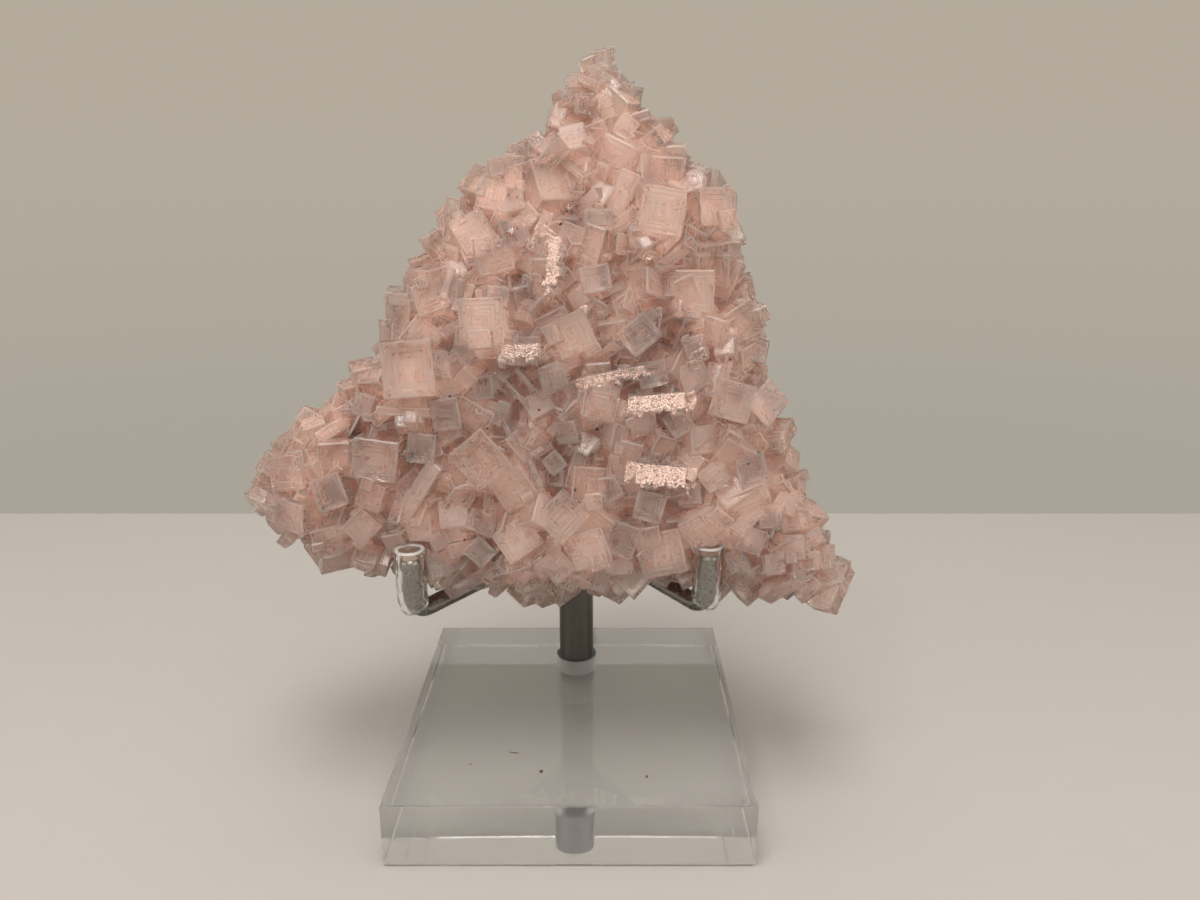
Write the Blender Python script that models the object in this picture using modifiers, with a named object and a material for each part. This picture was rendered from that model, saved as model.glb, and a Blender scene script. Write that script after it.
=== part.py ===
"""Halite: pink cubic crystals grown together in one cluster, on a clear display stand.

The origin is the centre of the base's underside, +Z is up and the front faces -Y.
Sizes are in millimetres, and MM turns them into Blender's metres.
"""

import math
import random

import bmesh
import bpy
from mathutils import Matrix, Vector

MM = 0.001

# The acrylic base and the blind hole that takes the post
BASE_SIDE = 63.5
BASE_THICKNESS = 12.0
BASE_CHAMFER = 0.25
HOLE_DIAMETER = 8.2
HOLE_DEPTH = 9.0

# The steel post behind the specimen
POST_DIAMETER = 7.4
POST_Y = 20.0
POST_ABOVE_BASE = 80.0
POST_CHAMFER = 0.5

# The two hooked arms, bent from round rod
ROD_DIAMETER = 3.175
ARM_Z = 40.2
BEND_RADIUS = 3.75
HOOK_TOP_Z = 50.6
LEFT_HOOK = (-27.2, -17.25)
RIGHT_HOOK = (23.9, -15.3)
SOCKET_BOTTOM = 2.9

# The clear sleeves over the hooks
SLEEVE_DIAMETER = 5.2
SLEEVE_BORE = 3.7
SLEEVE_TOP_Z = 52.4
SLEEVE_START_ANGLE = math.radians(35)

# The gap between solids that touch
CLEARANCE = 0.3

# The plane through the middle of the cluster: u runs right, v up the plane, w to the front
PLANE_Y = -2.0
PLANE_Z = 44.0
LEAN = math.radians(8)

# Thickness of the cluster either side of that plane, at the foot and at the tip
FRONT_AT_FOOT = 14.5
FRONT_AT_TIP = 6.5
BACK_AT_FOOT = 11.0
BACK_AT_TIP = 5.0
THICK_UP_TO_V = 42.0
TIP_V = 91.0
EDGE_ROUNDING = 13.0
RIM_HALF_THICKNESS = 2.6
FOOT_V = 4.0
FOOT_BLUNTNESS = 2.2
THICK_FOOT_HALF_WIDTH = 31.0

# The outline of the cluster in that plane (u, v), clockwise from the tip
OUTLINE = (
    (4, 91), (9, 86), (14, 82), (22, 72), (29, 66), (29, 58), (34, 46), (34, 34),
    (38, 26), (43, 13), (49, 3), (48, -5), (37, -5), (24, -2), (10, -3), (-5, -5),
    (-19, -3), (-36, 0), (-46, 2), (-53, 5), (-57, 16), (-51, 25), (-40, 33),
    (-34, 41), (-28, 54), (-23, 62), (-15, 71), (-5, 77), (0, 87),
)
CORE_INSET = 3.0
CORE_DEPTH = 3.6
CORE_EDGE = 0.8
CORE_CENTRE = (0, 30)
CORE_RINGS = (1.0, 0.8, 0.45, 0.12)

# Crystals that show along the outline: u, v, side, roll in degrees
RIM_CRYSTALS = (
    (6.0, 89.5, 3.5, -5), (3.5, 88.0, 3.0, 15), (7.0, 86.5, 3.0, -5), (1.5, 85.5, 3.0, 0),
    (10.5, 83.0, 4.0, -10), (-1.5, 82.0, 3.0, 20), (13.0, 79.0, 4.0, -45),
    (16.0, 76.0, 3.5, -35), (18.0, 73.0, 4.0, -35), (22.5, 69.0, 4.0, -5),
    (27.0, 65.0, 4.5, -5), (26.5, 61.5, 4.5, 0), (-2.5, 79.0, 3.0, 10), (-5.0, 74.5, 4.0, 25),
    (-8.5, 73.5, 3.5, 10), (-12.5, 71.0, 3.5, 10), (-15.5, 68.0, 3.5, 15),
    (-17.0, 65.0, 4.0, 30), (-20.5, 61.5, 4.0, 25), (-23.0, 58.5, 4.0, 10),
    (-26.0, 54.5, 3.5, 15), (-28.0, 51.0, 4.0, 5), (-30.0, 47.0, 6.0, 20),
    (-32.5, 43.0, 4.0, 10), (-33.5, 39.5, 4.0, 30), (-39.0, 31.0, 6.0, 20),
    (-42.5, 28.5, 4.0, 35), (-47.5, 25.0, 5.5, 10), (-52.0, 22.0, 4.0, 30),
    (-54.5, 18.5, 4.0, 35), (-55.5, 15.0, 3.5, 20), (-52.0, 11.5, 4.0, 40), (-51.0, 6.5, 4.0, 10),
    (-45.5, 4.5, 6.0, 40), (-40.0, 3.0, 4.5, 20), (-35.0, 2.0, 3.5, 15), (-27.0, 0.5, 4.5, 5),
    (-22.0, 0.0, 5.5, 20), (-17.0, -0.5, 4.5, 35), (-11.5, -0.5, 5.0, 30),
    (-5.0, -2.5, 5.5, 38), (2.0, -0.5, 5.0, 5), (8.0, -0.5, 5.0, 38), (14.0, 1.0, 4.5, 20),
    (20.5, 0.5, 4.5, 0), (26.5, 0.5, 4.5, 10), (33.5, -3.0, 4.5, 3), (38.5, -2.5, 3.5, 5),
    (43.5, -3.0, 4.5, 15), (45.5, 2.5, 4.5, 5), (43.0, 8.5, 3.5, 40), (41.0, 12.5, 4.0, -30),
    (39.0, 18.5, 4.5, 5), (37.0, 24.5, 3.5, 10), (33.0, 32.0, 3.5, 5), (31.5, 37.0, 4.5, 20),
    (32.0, 42.5, 4.5, 20), (30.5, 48.0, 4.0, -35), (28.5, 53.0, 3.5, 10), (27.0, 57.0, 3.5, 0),
)

RIM_SPREAD = 1.2
RIM_STRETCH = 2.2
RIM_FORWARD = 5.5

# Crystals that stand out on the front: u, v, side, roll in degrees, sunk steps on the face
FRONT_CRYSTALS = (
    (-1.5, 11.0, 7.5, 45, 2), (-2.5, 20.5, 3.5, 40, 1), (7.0, 16.0, 4.5, 30, 1),
    (3.0, 17.0, 6.0, -5, 0), (-9.0, 17.0, 8.0, 30, 0), (0.0, 26.0, 4.0, 10, 0),
    (8.0, 25.0, 4.5, -10, 0), (-15.0, 21.5, 8.0, 40, 1), (13.5, 13.0, 5.5, -15, 1),
    (9.0, 7.5, 6.0, -20, 1), (-9.0, 6.5, 7.0, 35, 0), (-15.5, 5.0, 4.5, 45, 0),
    (-20.0, 11.0, 5.5, 5, 0), (-32.5, 21.5, 8.0, -8, 1), (-24.5, 23.0, 5.5, -5, 1),
    (-40.5, 22.0, 5.5, 0, 0), (-36.0, 9.5, 5.5, 45, 0), (27.5, 31.0, 7.0, -15, 1),
    (18.5, 27.5, 4.5, 35, 0), (27.5, 22.5, 7.0, -30, 0), (34.5, 11.0, 4.5, -5, 0),
    (42.0, 3.0, 5.0, 10, 0), (31.0, 6.5, 7.5, -20, 0), (16.5, 4.5, 8.0, 15, 0),
    (-26.5, 36.0, 10.0, 5, 1), (-17.5, 39.0, 4.0, 40, 0), (-14.0, 33.5, 4.0, 5, 0),
    (-14.0, 44.0, 8.0, 3, 0), (1.0, 42.0, 7.0, 25, 0), (-10.5, 69.0, 5.5, 5, 0),
    (-4.0, 66.0, 8.0, 5, 0), (-16.5, 58.5, 6.5, 30, 0), (5.0, 60.5, 4.5, 3, 0),
    (4.5, 51.0, 5.0, 10, 1), (24.0, 63.0, 6.5, 2, 0), (15.5, 62.0, 8.0, -10, 0),
    (29.0, 45.0, 6.5, 35, 0), (21.0, 49.5, 7.0, 0, 0), (13.0, 50.0, 5.0, 15, 0),
    (9.5, 72.0, 7.0, -28, 0), (5.5, 79.5, 4.5, 30, 0), (1.0, 74.0, 5.0, 10, 0),
)

# Crystals that fill the rest of the two sides
FRONT_FILL_SIDES = (4.0, 6.5)
FRONT_FILL_SPACING = 1.02
BACK_FILL_SIDES = (5.0, 9.0)
BACK_FILL_SPACING = 1.0
FILL_EDGE = 0.5
FILL_TRIES = 2600
FILL_SEED = 28
TERRACE_WIDTH = 0.11
TERRACE_DEPTH = 0.35


def metres(x, y, z):
    """A point given in millimetres, in Blender's metres."""
    return Vector((x, y, z)) * MM


def plane_axes():
    """The directions of u, v and w in the world, as the columns of a rotation."""
    across = Vector((1, 0, 0))
    up = Vector((0, math.sin(LEAN), math.cos(LEAN)))
    return Matrix((across, up, across.cross(up))).transposed()


def plane_point(u, v, w):
    """The world point, in millimetres, of a place in the cluster's own plane."""
    return Vector((0, PLANE_Y, PLANE_Z)) + plane_axes() @ Vector((u, v, w))


def distance_to_outline(u, v):
    """How far a point of the plane is from the cluster's outline.

    The foot counts as farther off, which leaves it blunt, as the other edges aren't.
    """
    point = Vector((u, v))
    nearest = math.inf
    for index, end in enumerate(OUTLINE):
        start = Vector(OUTLINE[index - 1])
        edge = Vector(end) - start
        along = max(0.0, min(1.0, (point - start).dot(edge) / edge.length_squared))
        distance = (start + edge * along - point).length
        if start.y < FOOT_V and end[1] < FOOT_V:
            distance *= FOOT_BLUNTNESS
        nearest = min(nearest, distance)
    return nearest


def inside_outline(u, v):
    """Whether a point of the plane lies inside the cluster's outline."""
    crossings = 0
    for index, (end_u, end_v) in enumerate(OUTLINE):
        start_u, start_v = OUTLINE[index - 1]
        if (start_v > v) != (end_v > v):
            crossings += u < start_u + (v - start_v) * (end_u - start_u) / (end_v - start_v)
    return crossings % 2 == 1


def half_thickness(u, v, at_foot, at_tip):
    """Thickness of one side of the cluster: full inside, rounded off towards the outline."""
    fade = max(0.0, min(1.0, (v - THICK_UP_TO_V) / (TIP_V - THICK_UP_TO_V)))
    full = at_foot + (at_tip - at_foot) * fade
    into_edge = 1 - min(distance_to_outline(u, v), EDGE_ROUNDING) / EDGE_ROUNDING
    rounding = math.sqrt(1 - into_edge ** 2)
    return RIM_HALF_THICKNESS + (full - RIM_HALF_THICKNESS) * rounding


def front_depth(u, v):
    """Distance of the cluster's front from its middle plane."""
    return half_thickness(u, v, FRONT_AT_FOOT, FRONT_AT_TIP)


def back_depth(u, v):
    """Distance of the cluster's back from its middle plane."""
    return half_thickness(u, v, BACK_AT_FOOT, BACK_AT_TIP)


def make_material(name, colour, roughness, metallic=0.0, transmission=0.0, ior=1.5):
    """A Principled material for one part."""
    material = bpy.data.materials.new(name)
    material.use_nodes = True
    material.diffuse_color = (*colour, 1)
    shader = material.node_tree.nodes["Principled BSDF"]
    shader.inputs["Base Color"].default_value = (*colour, 1)
    shader.inputs["Roughness"].default_value = roughness
    shader.inputs["Metallic"].default_value = metallic
    shader.inputs["Transmission Weight"].default_value = transmission
    shader.inputs["IOR"].default_value = ior
    return material


def new_collection(name):
    """A collection in the scene."""
    collection = bpy.data.collections.new(name)
    bpy.context.scene.collection.children.link(collection)
    return collection


def add_object(name, mesh, collection, material=None):
    """An object for a mesh, in a collection."""
    obj = bpy.data.objects.new(name, mesh)
    collection.objects.link(obj)
    if material:
        mesh.materials.append(material)
    return obj


def cylinder_mesh(diameter, length, sides=36):
    """A cylinder along +Z that starts at the origin."""
    shape = bmesh.new()
    bmesh.ops.create_cone(
        shape,
        cap_ends=True,
        segments=sides,
        radius1=diameter / 2 * MM,
        radius2=diameter / 2 * MM,
        depth=length * MM,
        matrix=Matrix.Translation(metres(0, 0, length / 2)),
    )
    mesh = bpy.data.meshes.new("cylinder")
    shape.to_mesh(mesh)
    shape.free()
    return mesh


def add_cutter(name, mesh, collection):
    """A hidden helper that other parts are cut with."""
    cutter = add_object(name, mesh, collection)
    cutter.display_type = "WIRE"
    cutter.hide_render = True
    return cutter


def cut(obj, cutters):
    """Cut every object of a collection out of a part."""
    boolean = obj.modifiers.new("cut", "BOOLEAN")
    boolean.operation = "DIFFERENCE"
    boolean.operand_type = "COLLECTION"
    boolean.collection = cutters


def build_base(collection, cutters):
    """The clear acrylic block, with a blind hole for the post."""
    shape = bmesh.new()
    bmesh.ops.create_cube(shape, size=1)
    bmesh.ops.scale(shape, vec=metres(BASE_SIDE, BASE_SIDE, BASE_THICKNESS), verts=shape.verts)
    bmesh.ops.translate(shape, vec=metres(0, 0, BASE_THICKNESS / 2), verts=shape.verts)
    mesh = bpy.data.meshes.new("acrylic_base")
    shape.to_mesh(mesh)
    shape.free()
    clear = make_material("clear_acrylic", (0.86, 0.86, 0.84), 0.03, transmission=0.9, ior=1.49)
    base = add_object("acrylic_base", mesh, collection, clear)
    chamfer = base.modifiers.new("chamfer", "BEVEL")
    chamfer.width = BASE_CHAMFER * MM
    chamfer.segments = 1
    hole = add_cutter("post_hole", cylinder_mesh(HOLE_DIAMETER, HOLE_DEPTH * 2), cutters)
    hole.location = metres(0, POST_Y, BASE_THICKNESS - HOLE_DEPTH)
    cut(base, cutters)
    return base


def arm_angle(hook):
    """The heading of an arm, from the post's axis to its hook."""
    return math.atan2(hook[1] - POST_Y, hook[0])


def build_post(collection, cutters):
    """The round steel post, with a shallow socket for each arm."""
    foot_z = BASE_THICKNESS - HOLE_DEPTH + CLEARANCE
    length = BASE_THICKNESS + POST_ABOVE_BASE - foot_z
    steel = make_material("dark_steel", (0.16, 0.15, 0.14), 0.32, metallic=1.0)
    post = add_object("post", cylinder_mesh(POST_DIAMETER, length), collection, steel)
    post.location = metres(0, POST_Y, foot_z)
    chamfer = post.modifiers.new("chamfer", "BEVEL")
    chamfer.width = POST_CHAMFER * MM
    chamfer.segments = 1
    chamfer.limit_method = "ANGLE"
    for side, hook in (("left", LEFT_HOOK), ("right", RIGHT_HOOK)):
        bore = cylinder_mesh(ROD_DIAMETER + 2 * CLEARANCE, POST_DIAMETER, sides=20)
        socket = add_cutter(f"{side}_socket", bore, cutters)
        heading = Vector((math.cos(arm_angle(hook)), math.sin(arm_angle(hook)), 0))
        socket.rotation_euler = heading.to_track_quat("Z", "Y").to_euler()
        socket.location = metres(0, POST_Y, ARM_Z) + heading * SOCKET_BOTTOM * MM
    cut(post, cutters)
    return post


def hook_path(hook, start_angle=None):
    """Centre line of an arm: out from the post, round the bend and up the hook.

    With a start angle it begins that far round the bend, as a sleeve does.
    """
    heading = Vector((math.cos(arm_angle(hook)), math.sin(arm_angle(hook)), 0))
    up = Vector((0, 0, 1))
    tip = Vector((hook[0], hook[1], ARM_Z))
    bend_centre = tip - heading * BEND_RADIUS + up * BEND_RADIUS
    points = []
    if start_angle is None:
        points.append(Vector((0, POST_Y, ARM_Z)) + heading * (SOCKET_BOTTOM + CLEARANCE))
        start_angle = 0.0
    bend_steps = 8
    for step in range(bend_steps + 1):
        turned = start_angle + (math.pi / 2 - start_angle) * step / bend_steps
        out = heading * math.sin(turned) - up * math.cos(turned)
        points.append(bend_centre + out * BEND_RADIUS)
    return points


def tube_mesh(points, diameter, capped):
    """A round tube along points, as a mesh with closed or open ends."""
    curve = bpy.data.curves.new("tube", "CURVE")
    curve.dimensions = "3D"
    curve.bevel_depth = diameter / 2 * MM
    curve.bevel_resolution = 6
    curve.use_fill_caps = capped
    spline = curve.splines.new("POLY")
    spline.points.add(len(points) - 1)
    for control, point in zip(spline.points, points):
        control.co = (*(point * MM), 1)
    holder = bpy.data.objects.new("tube", curve)
    bpy.context.scene.collection.objects.link(holder)
    graph = bpy.context.evaluated_depsgraph_get()
    mesh = bpy.data.meshes.new_from_object(holder.evaluated_get(graph))
    bpy.data.objects.remove(holder)
    shape = bmesh.new()
    shape.from_mesh(mesh)
    bmesh.ops.remove_doubles(shape, verts=shape.verts, dist=0.01 * MM)
    shape.to_mesh(mesh)
    shape.free()
    return mesh


def build_arm(side, hook, collection):
    """One arm of round rod with its end bent up into a hook."""
    points = hook_path(hook)
    points.append(Vector((hook[0], hook[1], HOOK_TOP_Z)))
    steel = make_material(f"{side}_arm_steel", (0.42, 0.40, 0.38), 0.25, metallic=1.0)
    return add_object(f"arm_{side}", tube_mesh(points, ROD_DIAMETER, True), collection, steel)


def build_sleeve(side, hook, collection):
    """The soft clear tube pushed over a hook."""
    points = hook_path(hook, SLEEVE_START_ANGLE)
    points.append(Vector((hook[0], hook[1], SLEEVE_TOP_Z)))
    vinyl = make_material(f"{side}_sleeve_vinyl", (0.8, 0.8, 0.78), 0.08, transmission=0.9, ior=1.53)
    sleeve = add_object(f"sleeve_{side}", tube_mesh(points, SLEEVE_DIAMETER, False), collection, vinyl)
    wall = sleeve.modifiers.new("wall", "SOLIDIFY")
    wall.thickness = (SLEEVE_DIAMETER - SLEEVE_BORE) / 2 * MM
    wall.offset = -1
    return sleeve


def sink_steps(shape, face, side, steps):
    """Sink square steps into a face, like the frames of a hopper crystal."""
    for _ in range(steps):
        bmesh.ops.inset_individual(shape, faces=[face], thickness=side * TERRACE_WIDTH)
        bmesh.ops.inset_individual(
            shape,
            faces=[face],
            thickness=side * TERRACE_WIDTH * 0.25,
            depth=-TERRACE_DEPTH * MM,
        )


def add_crystal(collection, place, turn, side, stretch=(1, 1, 1), steps=0):
    """One cube of halite as a helper that is joined to the cluster.

    place is its centre in millimetres and turn a rotation from its own axes to the world.
    """
    shape = bmesh.new()
    bmesh.ops.create_cube(shape, size=side * MM)
    bmesh.ops.scale(shape, vec=stretch, verts=shape.verts)
    if steps:
        front = max(shape.faces, key=lambda face: face.calc_center_median().z)
        sink_steps(shape, front, side * MM, steps)
    bmesh.ops.transform(shape, matrix=turn.to_4x4(), verts=shape.verts)
    bmesh.ops.translate(shape, vec=place * MM, verts=shape.verts)
    mesh = bpy.data.meshes.new("crystal")
    shape.to_mesh(mesh)
    shape.free()
    return add_cutter("crystal", mesh, collection)


def turned(roll, tip=0.0, swing=0.0):
    """A crystal's rotation: rolled in the plane of the cluster, tipped back and swung aside."""
    own = Matrix.Rotation(math.radians(swing), 3, "Y")
    own = own @ Matrix.Rotation(math.radians(tip), 3, "X")
    own = own @ Matrix.Rotation(math.radians(roll), 3, "Z")
    return plane_axes() @ own


def any_turn(chance):
    """A crystal's rotation with no direction favoured."""
    axis = Vector((chance.gauss(0, 1), chance.gauss(0, 1), chance.gauss(0, 1)))
    spin = Matrix.Rotation(chance.uniform(0, 2 * math.pi), 3, "Z")
    return axis.to_track_quat("Z", "Y").to_matrix() @ spin


def build_core():
    """The solid middle of the cluster: rings of the outline that rise to its two sides."""
    shape = bmesh.new()
    centre = Vector(CORE_CENTRE)
    rings = [(scale, front_depth, 1) for scale in reversed(CORE_RINGS)]
    rings += [(scale, back_depth, -1) for scale in CORE_RINGS]
    loops = []
    for scale, depth, side in rings:
        loop = []
        for corner in OUTLINE:
            offset = Vector(corner) - centre
            offset *= scale * (1 - CORE_INSET / offset.length)
            u, v = centre + offset
            w = side * max(depth(u, v) - CORE_DEPTH, CORE_EDGE)
            loop.append(shape.verts.new(plane_point(u, v, w) * MM))
        loops.append(loop)
    for above, below in zip(loops, loops[1:]):
        for index in range(len(OUTLINE)):
            shape.faces.new((above[index - 1], above[index], below[index], below[index - 1]))
    shape.faces.new(loops[0])
    shape.faces.new(loops[-1])
    bmesh.ops.recalc_face_normals(shape, faces=shape.faces)
    mesh = bpy.data.meshes.new("core")
    shape.to_mesh(mesh)
    shape.free()
    return mesh


def fill_side(chance, placed, sides, spacing):
    """Places for more crystals on one side, clear of the ones that are there: (u, v, side)."""
    corners = [Vector(corner) for corner in OUTLINE]
    low = Vector((min(c.x for c in corners), min(c.y for c in corners)))
    high = Vector((max(c.x for c in corners), max(c.y for c in corners)))
    found = []
    for _ in range(FILL_TRIES):
        u = chance.uniform(low.x, high.x)
        v = chance.uniform(low.y, high.y)
        side = chance.uniform(*sides)
        if not inside_outline(u, v) or distance_to_outline(u, v) < side * FILL_EDGE:
            continue
        if all(math.dist((u, v), other[:2]) > spacing * (side + other[2]) / 2
               for other in placed + found):
            found.append((u, v, side))
    return found


def add_crystals(collection):
    """Every crystal of the cluster, as helpers in a collection."""
    chance = random.Random(FILL_SEED)
    for u, v, side, roll in RIM_CRYSTALS:
        turn = turned(roll, chance.uniform(-9, 9), chance.uniform(-9, 9))
        depth = chance.uniform(-RIM_SPREAD, RIM_SPREAD)
        if v < FOOT_V and abs(u) < THICK_FOOT_HALF_WIDTH:
            depth += RIM_FORWARD
        add_crystal(collection, plane_point(u, v, depth), turn, side, (1, 1, RIM_STRETCH))
    for u, v, side, roll, steps in FRONT_CRYSTALS:
        turn = turned(roll, chance.uniform(-14, 14), chance.uniform(-14, 14))
        place = plane_point(u, v, front_depth(u, v) - side * 0.3)
        add_crystal(collection, place, turn, side, steps=steps)
    shown = [crystal[:3] for crystal in FRONT_CRYSTALS + RIM_CRYSTALS]
    for u, v, side in fill_side(chance, shown, FRONT_FILL_SIDES, FRONT_FILL_SPACING):
        place = plane_point(u, v, front_depth(u, v) - side * 0.3)
        stretch = (1, chance.uniform(0.75, 1), chance.uniform(0.6, 1))
        add_crystal(collection, place, any_turn(chance), side, stretch)
    edge = [crystal[:3] for crystal in RIM_CRYSTALS]
    for u, v, side in fill_side(chance, edge, BACK_FILL_SIDES, BACK_FILL_SPACING):
        place = plane_point(u, v, side * 0.3 - back_depth(u, v))
        stretch = (1, chance.uniform(0.75, 1), chance.uniform(0.6, 1))
        add_crystal(collection, place, any_turn(chance), side, stretch)


def keep_outer_skin(mesh):
    """Leave only the largest closed skin of a mesh, without loose chips or sealed hollows."""
    shape = bmesh.new()
    shape.from_mesh(mesh)
    left = set(shape.faces)
    islands = []
    while left:
        island = {left.pop()}
        edge_of_island = list(island)
        while edge_of_island:
            face = edge_of_island.pop()
            near = {other for edge in face.edges for other in edge.link_faces} & left
            left -= near
            island |= near
            edge_of_island.extend(near)
        islands.append(island)
    largest = max(islands, key=len)
    extra = [face for island in islands if island is not largest for face in island]
    bmesh.ops.delete(shape, geom=extra, context="FACES")
    shape.to_mesh(mesh)
    shape.free()


def add_stand_clearance(collection):
    """Helpers slightly fatter than the stand, to keep the crystals clear of it."""
    for hook in (LEFT_HOOK, RIGHT_HOOK):
        rod = hook_path(hook)
        add_cutter("rod_room", tube_mesh(rod, ROD_DIAMETER + 2 * CLEARANCE, True), collection)
        sleeve = hook_path(hook, SLEEVE_START_ANGLE)
        sleeve.append(Vector((hook[0], hook[1], SLEEVE_TOP_Z + CLEARANCE)))
        add_cutter("sleeve_room", tube_mesh(sleeve, SLEEVE_DIAMETER + 2 * CLEARANCE, True), collection)
    post = cylinder_mesh(POST_DIAMETER + 2 * CLEARANCE, POST_ABOVE_BASE)
    room = add_cutter("post_room", post, collection)
    room.location = metres(0, POST_Y, BASE_THICKNESS + CLEARANCE)


def build_cluster(collection, crystals, stand_room):
    """The halite: core and crystals joined into one solid that rests clear of the stand."""
    add_crystals(crystals)
    add_stand_clearance(stand_room)
    pink = make_material("pink_halite", (0.62, 0.36, 0.31), 0.22, transmission=0.4, ior=1.544)
    cluster = add_object("halite_cluster", build_core(), collection, pink)
    grown = cluster.modifiers.new("grown_together", "BOOLEAN")
    grown.operation = "UNION"
    grown.operand_type = "COLLECTION"
    grown.collection = crystals
    cut(cluster, stand_room)
    graph = bpy.context.evaluated_depsgraph_get()
    skin = bpy.data.meshes.new_from_object(cluster.evaluated_get(graph))
    keep_outer_skin(skin)
    cluster.modifiers.clear()
    cluster.data = skin
    return cluster


def main():
    """Build every part of the cluster and its stand."""
    for obj in list(bpy.data.objects):
        bpy.data.objects.remove(obj)
    parts = new_collection("halite_cubic_crystal")
    build_base(parts, new_collection("base_cutters"))
    build_post(parts, new_collection("post_cutters"))
    for side, hook in (("left", LEFT_HOOK), ("right", RIGHT_HOOK)):
        build_arm(side, hook, parts)
        build_sleeve(side, hook, parts)
    build_cluster(parts, new_collection("crystal_helpers"), new_collection("stand_clearance"))


if __name__ == "__main__":
    main()
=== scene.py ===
"""Pink halite cluster on its clear stand, dressed for rendering.

Every size is in millimetres, and MM turns it into the frame's metres. The cluster is laid out in
its own leaning plane: u runs right, v up the plane and w out of its front.
"""

import logging
import math
from dataclasses import dataclass, field
from enum import Enum, IntEnum
from typing import Any

import bmesh
import bpy
import numpy as np
import numpy.typing as npt
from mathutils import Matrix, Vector
from mathutils.bvhtree import BVHTree


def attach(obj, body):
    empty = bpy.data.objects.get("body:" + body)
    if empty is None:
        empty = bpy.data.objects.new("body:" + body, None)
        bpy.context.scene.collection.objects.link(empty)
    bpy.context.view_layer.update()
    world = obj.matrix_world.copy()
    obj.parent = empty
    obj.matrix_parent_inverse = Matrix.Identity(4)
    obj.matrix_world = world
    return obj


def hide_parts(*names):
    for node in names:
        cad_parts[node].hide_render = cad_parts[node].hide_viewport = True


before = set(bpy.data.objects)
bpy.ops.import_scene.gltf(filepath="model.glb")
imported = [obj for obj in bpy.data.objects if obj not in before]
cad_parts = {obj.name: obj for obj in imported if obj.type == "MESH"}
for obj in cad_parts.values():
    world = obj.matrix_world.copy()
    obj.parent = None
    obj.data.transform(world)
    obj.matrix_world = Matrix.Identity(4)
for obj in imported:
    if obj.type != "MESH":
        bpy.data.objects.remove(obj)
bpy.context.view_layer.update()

MM = 0.001
BODY = "root"
FROSTED_FROM = 0.55  # the frost from which a crystal's edges and steps are frosted

Array = npt.NDArray[np.float64]
Feed = bpy.types.Node | bpy.types.NodeSocket  # a node stands for its first output
log = logging.getLogger("halite")


# ---------------------------------------------------------------------------
# Small shared tools


def linear(hex_colour: str) -> tuple[float, float, float, float]:
    """Turn an sRGB hex colour into Blender's linear RGBA.

    Args:
        hex_colour: Six hex digits, such as "c8968c".

    Returns:
        The linear colour with alpha 1.
    """
    channels = [int(hex_colour[i:i + 2], 16) / 255 for i in (0, 2, 4)]
    bent = [c / 12.92 if c <= 0.04045 else ((c + 0.055) / 1.055) ** 2.4 for c in channels]
    return (bent[0], bent[1], bent[2], 1.0)


def add_node(
    tree: bpy.types.NodeTree,
    kind: str,
    settings: dict[str, Any] | None = None,
    inputs: dict[str | int, Any] | None = None,
) -> bpy.types.Node:
    """Add a shader node with its settings, and its inputs set or linked.

    Args:
        tree: The node tree it goes in.
        kind: The node's type name without its ShaderNode prefix.
        settings: Properties of the node itself.
        inputs: Input name or number to a value, or to the socket or node that feeds it.

    Returns:
        The new node.
    """
    node = tree.nodes.new("ShaderNode" + kind)
    for name, value in (settings or {}).items():
        setattr(node, name, value)
    for name, value in (inputs or {}).items():
        if isinstance(value, bpy.types.Node):
            value = value.outputs[0]
        if isinstance(value, bpy.types.NodeSocket):
            tree.links.new(value, node.inputs[name])
        else:
            node.inputs[name].default_value = value
    return node


def new_material(name: str) -> tuple[bpy.types.Material, bpy.types.NodeTree]:
    """Start a material with an empty node tree.

    Args:
        name: What the finish is called.

    Returns:
        The material and its node tree.
    """
    material = bpy.data.materials.new(name)
    material.use_nodes = True
    material.node_tree.nodes.clear()
    return material, material.node_tree


def close_material(
    tree: bpy.types.NodeTree, surface: dict[str, Any], absorbs: str = "", density: float = 4.0
) -> None:
    """Add a material's surface and, where light goes through it, its volume.

    Args:
        tree: The material's nodes.
        surface: The surface shader's inputs.
        absorbs: The colour that its volume lets through, or nothing for one without a volume.
        density: How strongly the volume absorbs the rest, per metre.
    """
    ends = {"Surface": add_node(tree, "BsdfPrincipled", inputs=surface)}
    if absorbs:
        ends["Volume"] = add_node(
            tree, "VolumeAbsorption", inputs={"Color": linear(absorbs), "Density": density}
        )
    add_node(tree, "OutputMaterial", inputs=ends)


def smoothstep(low: float, high: float, value: Array) -> Array:
    """Rise smoothly from 0 at low to 1 at high, as 3x^2 - 2x^3.

    Args:
        low: Where the rise starts.
        high: Where it ends.
        value: The numbers to shape.

    Returns:
        Values from 0 to 1.
    """
    x = np.clip((value - low) / (high - low), 0, 1)
    return x * x * (3 - 2 * x)


def add_piece(name: str, mesh: bpy.types.Mesh, *materials: bpy.types.Material) -> bpy.types.Object:
    """Put a mesh into the scene as a piece that rides on the stand's body.

    Args:
        name: The piece's name.
        mesh: Its mesh, in place, in metres.
        materials: Its material slots in order.

    Returns:
        The piece.
    """
    for material in materials:
        mesh.materials.append(material)
    piece = bpy.data.objects.new(name, mesh)
    bpy.context.scene.collection.objects.link(piece)
    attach(piece, BODY)
    log.info("%s: %d faces", name, len(mesh.polygons))
    return piece


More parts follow.
